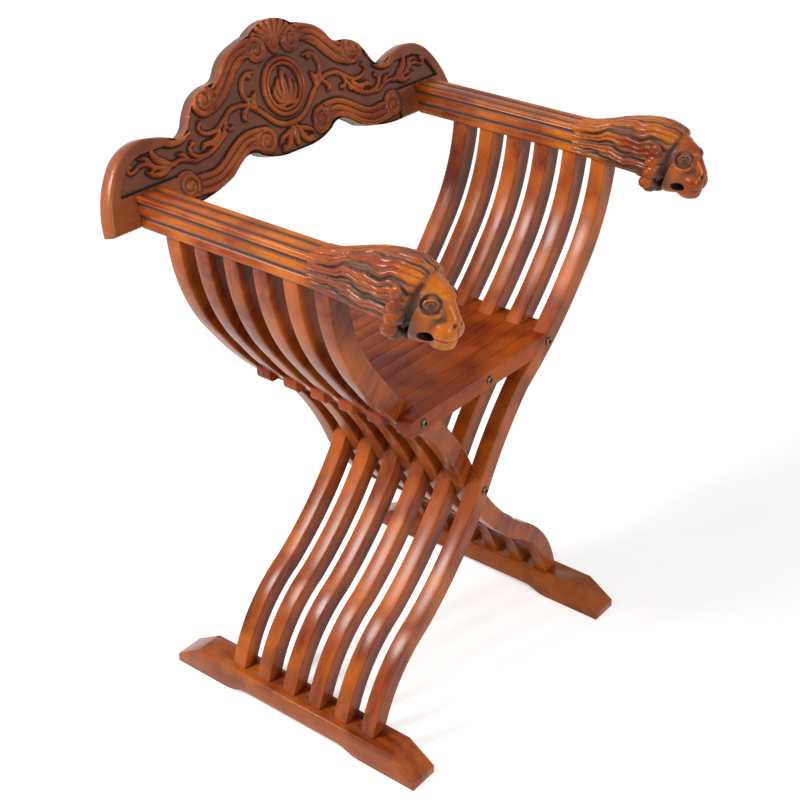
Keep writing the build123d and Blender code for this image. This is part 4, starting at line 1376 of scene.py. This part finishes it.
def light_studio(scene):
    """A white surround that lights the chair faintly, and three soft lamps."""
    world = bpy.data.worlds.new("Studio")
    world.use_nodes = True
    tree = world.node_tree
    level = add(tree, "ShaderNodeMapRange", {}, {
        "Value": white_rays(tree), "To Min": ROOM_LIGHT, "To Max": 1.0})
    back = tree.nodes["Background"]
    back.inputs["Color"].default_value = (1, 1, 1, 1)
    tree.links.new(level.outputs[0], back.inputs["Strength"])
    scene.world = world
    for name, where, size, power in LAMPS:
        lamp = bpy.data.lights.new(name, "AREA")
        lamp.size, lamp.energy = size, power
        light = bpy.data.objects.new(name, lamp)
        place = Vector(where)
        aim = (Vector((0, 0, AIM_HEIGHT * MM)) - place).to_track_quat("-Z", "Y")
        light.matrix_world = Matrix.Translation(place) @ aim.to_matrix().to_4x4()
        scene.collection.objects.link(light)


class CHAIR_OT_stage(bpy.types.Operator):
    """Lay the floor, hang the lights and set the camera"""
    bl_idname = "chair.stage"
    bl_label = "Stage"

    def execute(self, context):
        set_camera(context.scene)
        lay_floor(context.scene)
        light_studio(context.scene)
        context.scene.view_settings.view_transform = "Standard"
        return {"FINISHED"}


# ---- Panel and start -------------------------------------------------------------------------------
class CHAIR_PT_pieces(bpy.types.Panel):
    """Lists the chair's pieces and sizes"""
    bl_idname = "CHAIR_PT_pieces"
    bl_label = "Folding armchair"
    bl_space_type = "VIEW_3D"
    bl_region_type = "UI"
    bl_category = "Armchair"

    def draw(self, context):
        for settings in GROUPS:
            group = getattr(context.scene, settings)
            for name in group.__annotations__:
                self.layout.prop(group, name)
        for operator in OPERATORS:
            self.layout.operator(operator.bl_idname)


OPERATORS = (CHAIR_OT_ribs, CHAIR_OT_seat, CHAIR_OT_runners, CHAIR_OT_arms, CHAIR_OT_back,
             CHAIR_OT_cad_finish, CHAIR_OT_stage)
GROUPS = {"chair_sizes": ChairSizes, "chair_colours": ChairColours, "chair_view": ChairView}


def register():
    """Make the settings, operators and panel known."""
    for cls in (*GROUPS.values(), *OPERATORS, CHAIR_PT_pieces):
        bpy.utils.register_class(cls)
    for name, group in GROUPS.items():
        setattr(bpy.types.Scene, name, bpy.props.PointerProperty(type=group))


def unregister():
    """Take them away again."""
    for name in GROUPS:
        delattr(bpy.types.Scene, name)
    for cls in (CHAIR_PT_pieces, *OPERATORS[::-1], *GROUPS.values()):
        bpy.utils.unregister_class(cls)


def main():
    """Make every piece in order."""
    register()
    bpy.ops.chair.ribs()
    bpy.ops.chair.seat()
    bpy.ops.chair.runners()
    bpy.ops.chair.arms()
    bpy.ops.chair.back()
    bpy.ops.chair.cad_finish()
    bpy.ops.chair.stage()


if __name__ == "__main__":
    main()
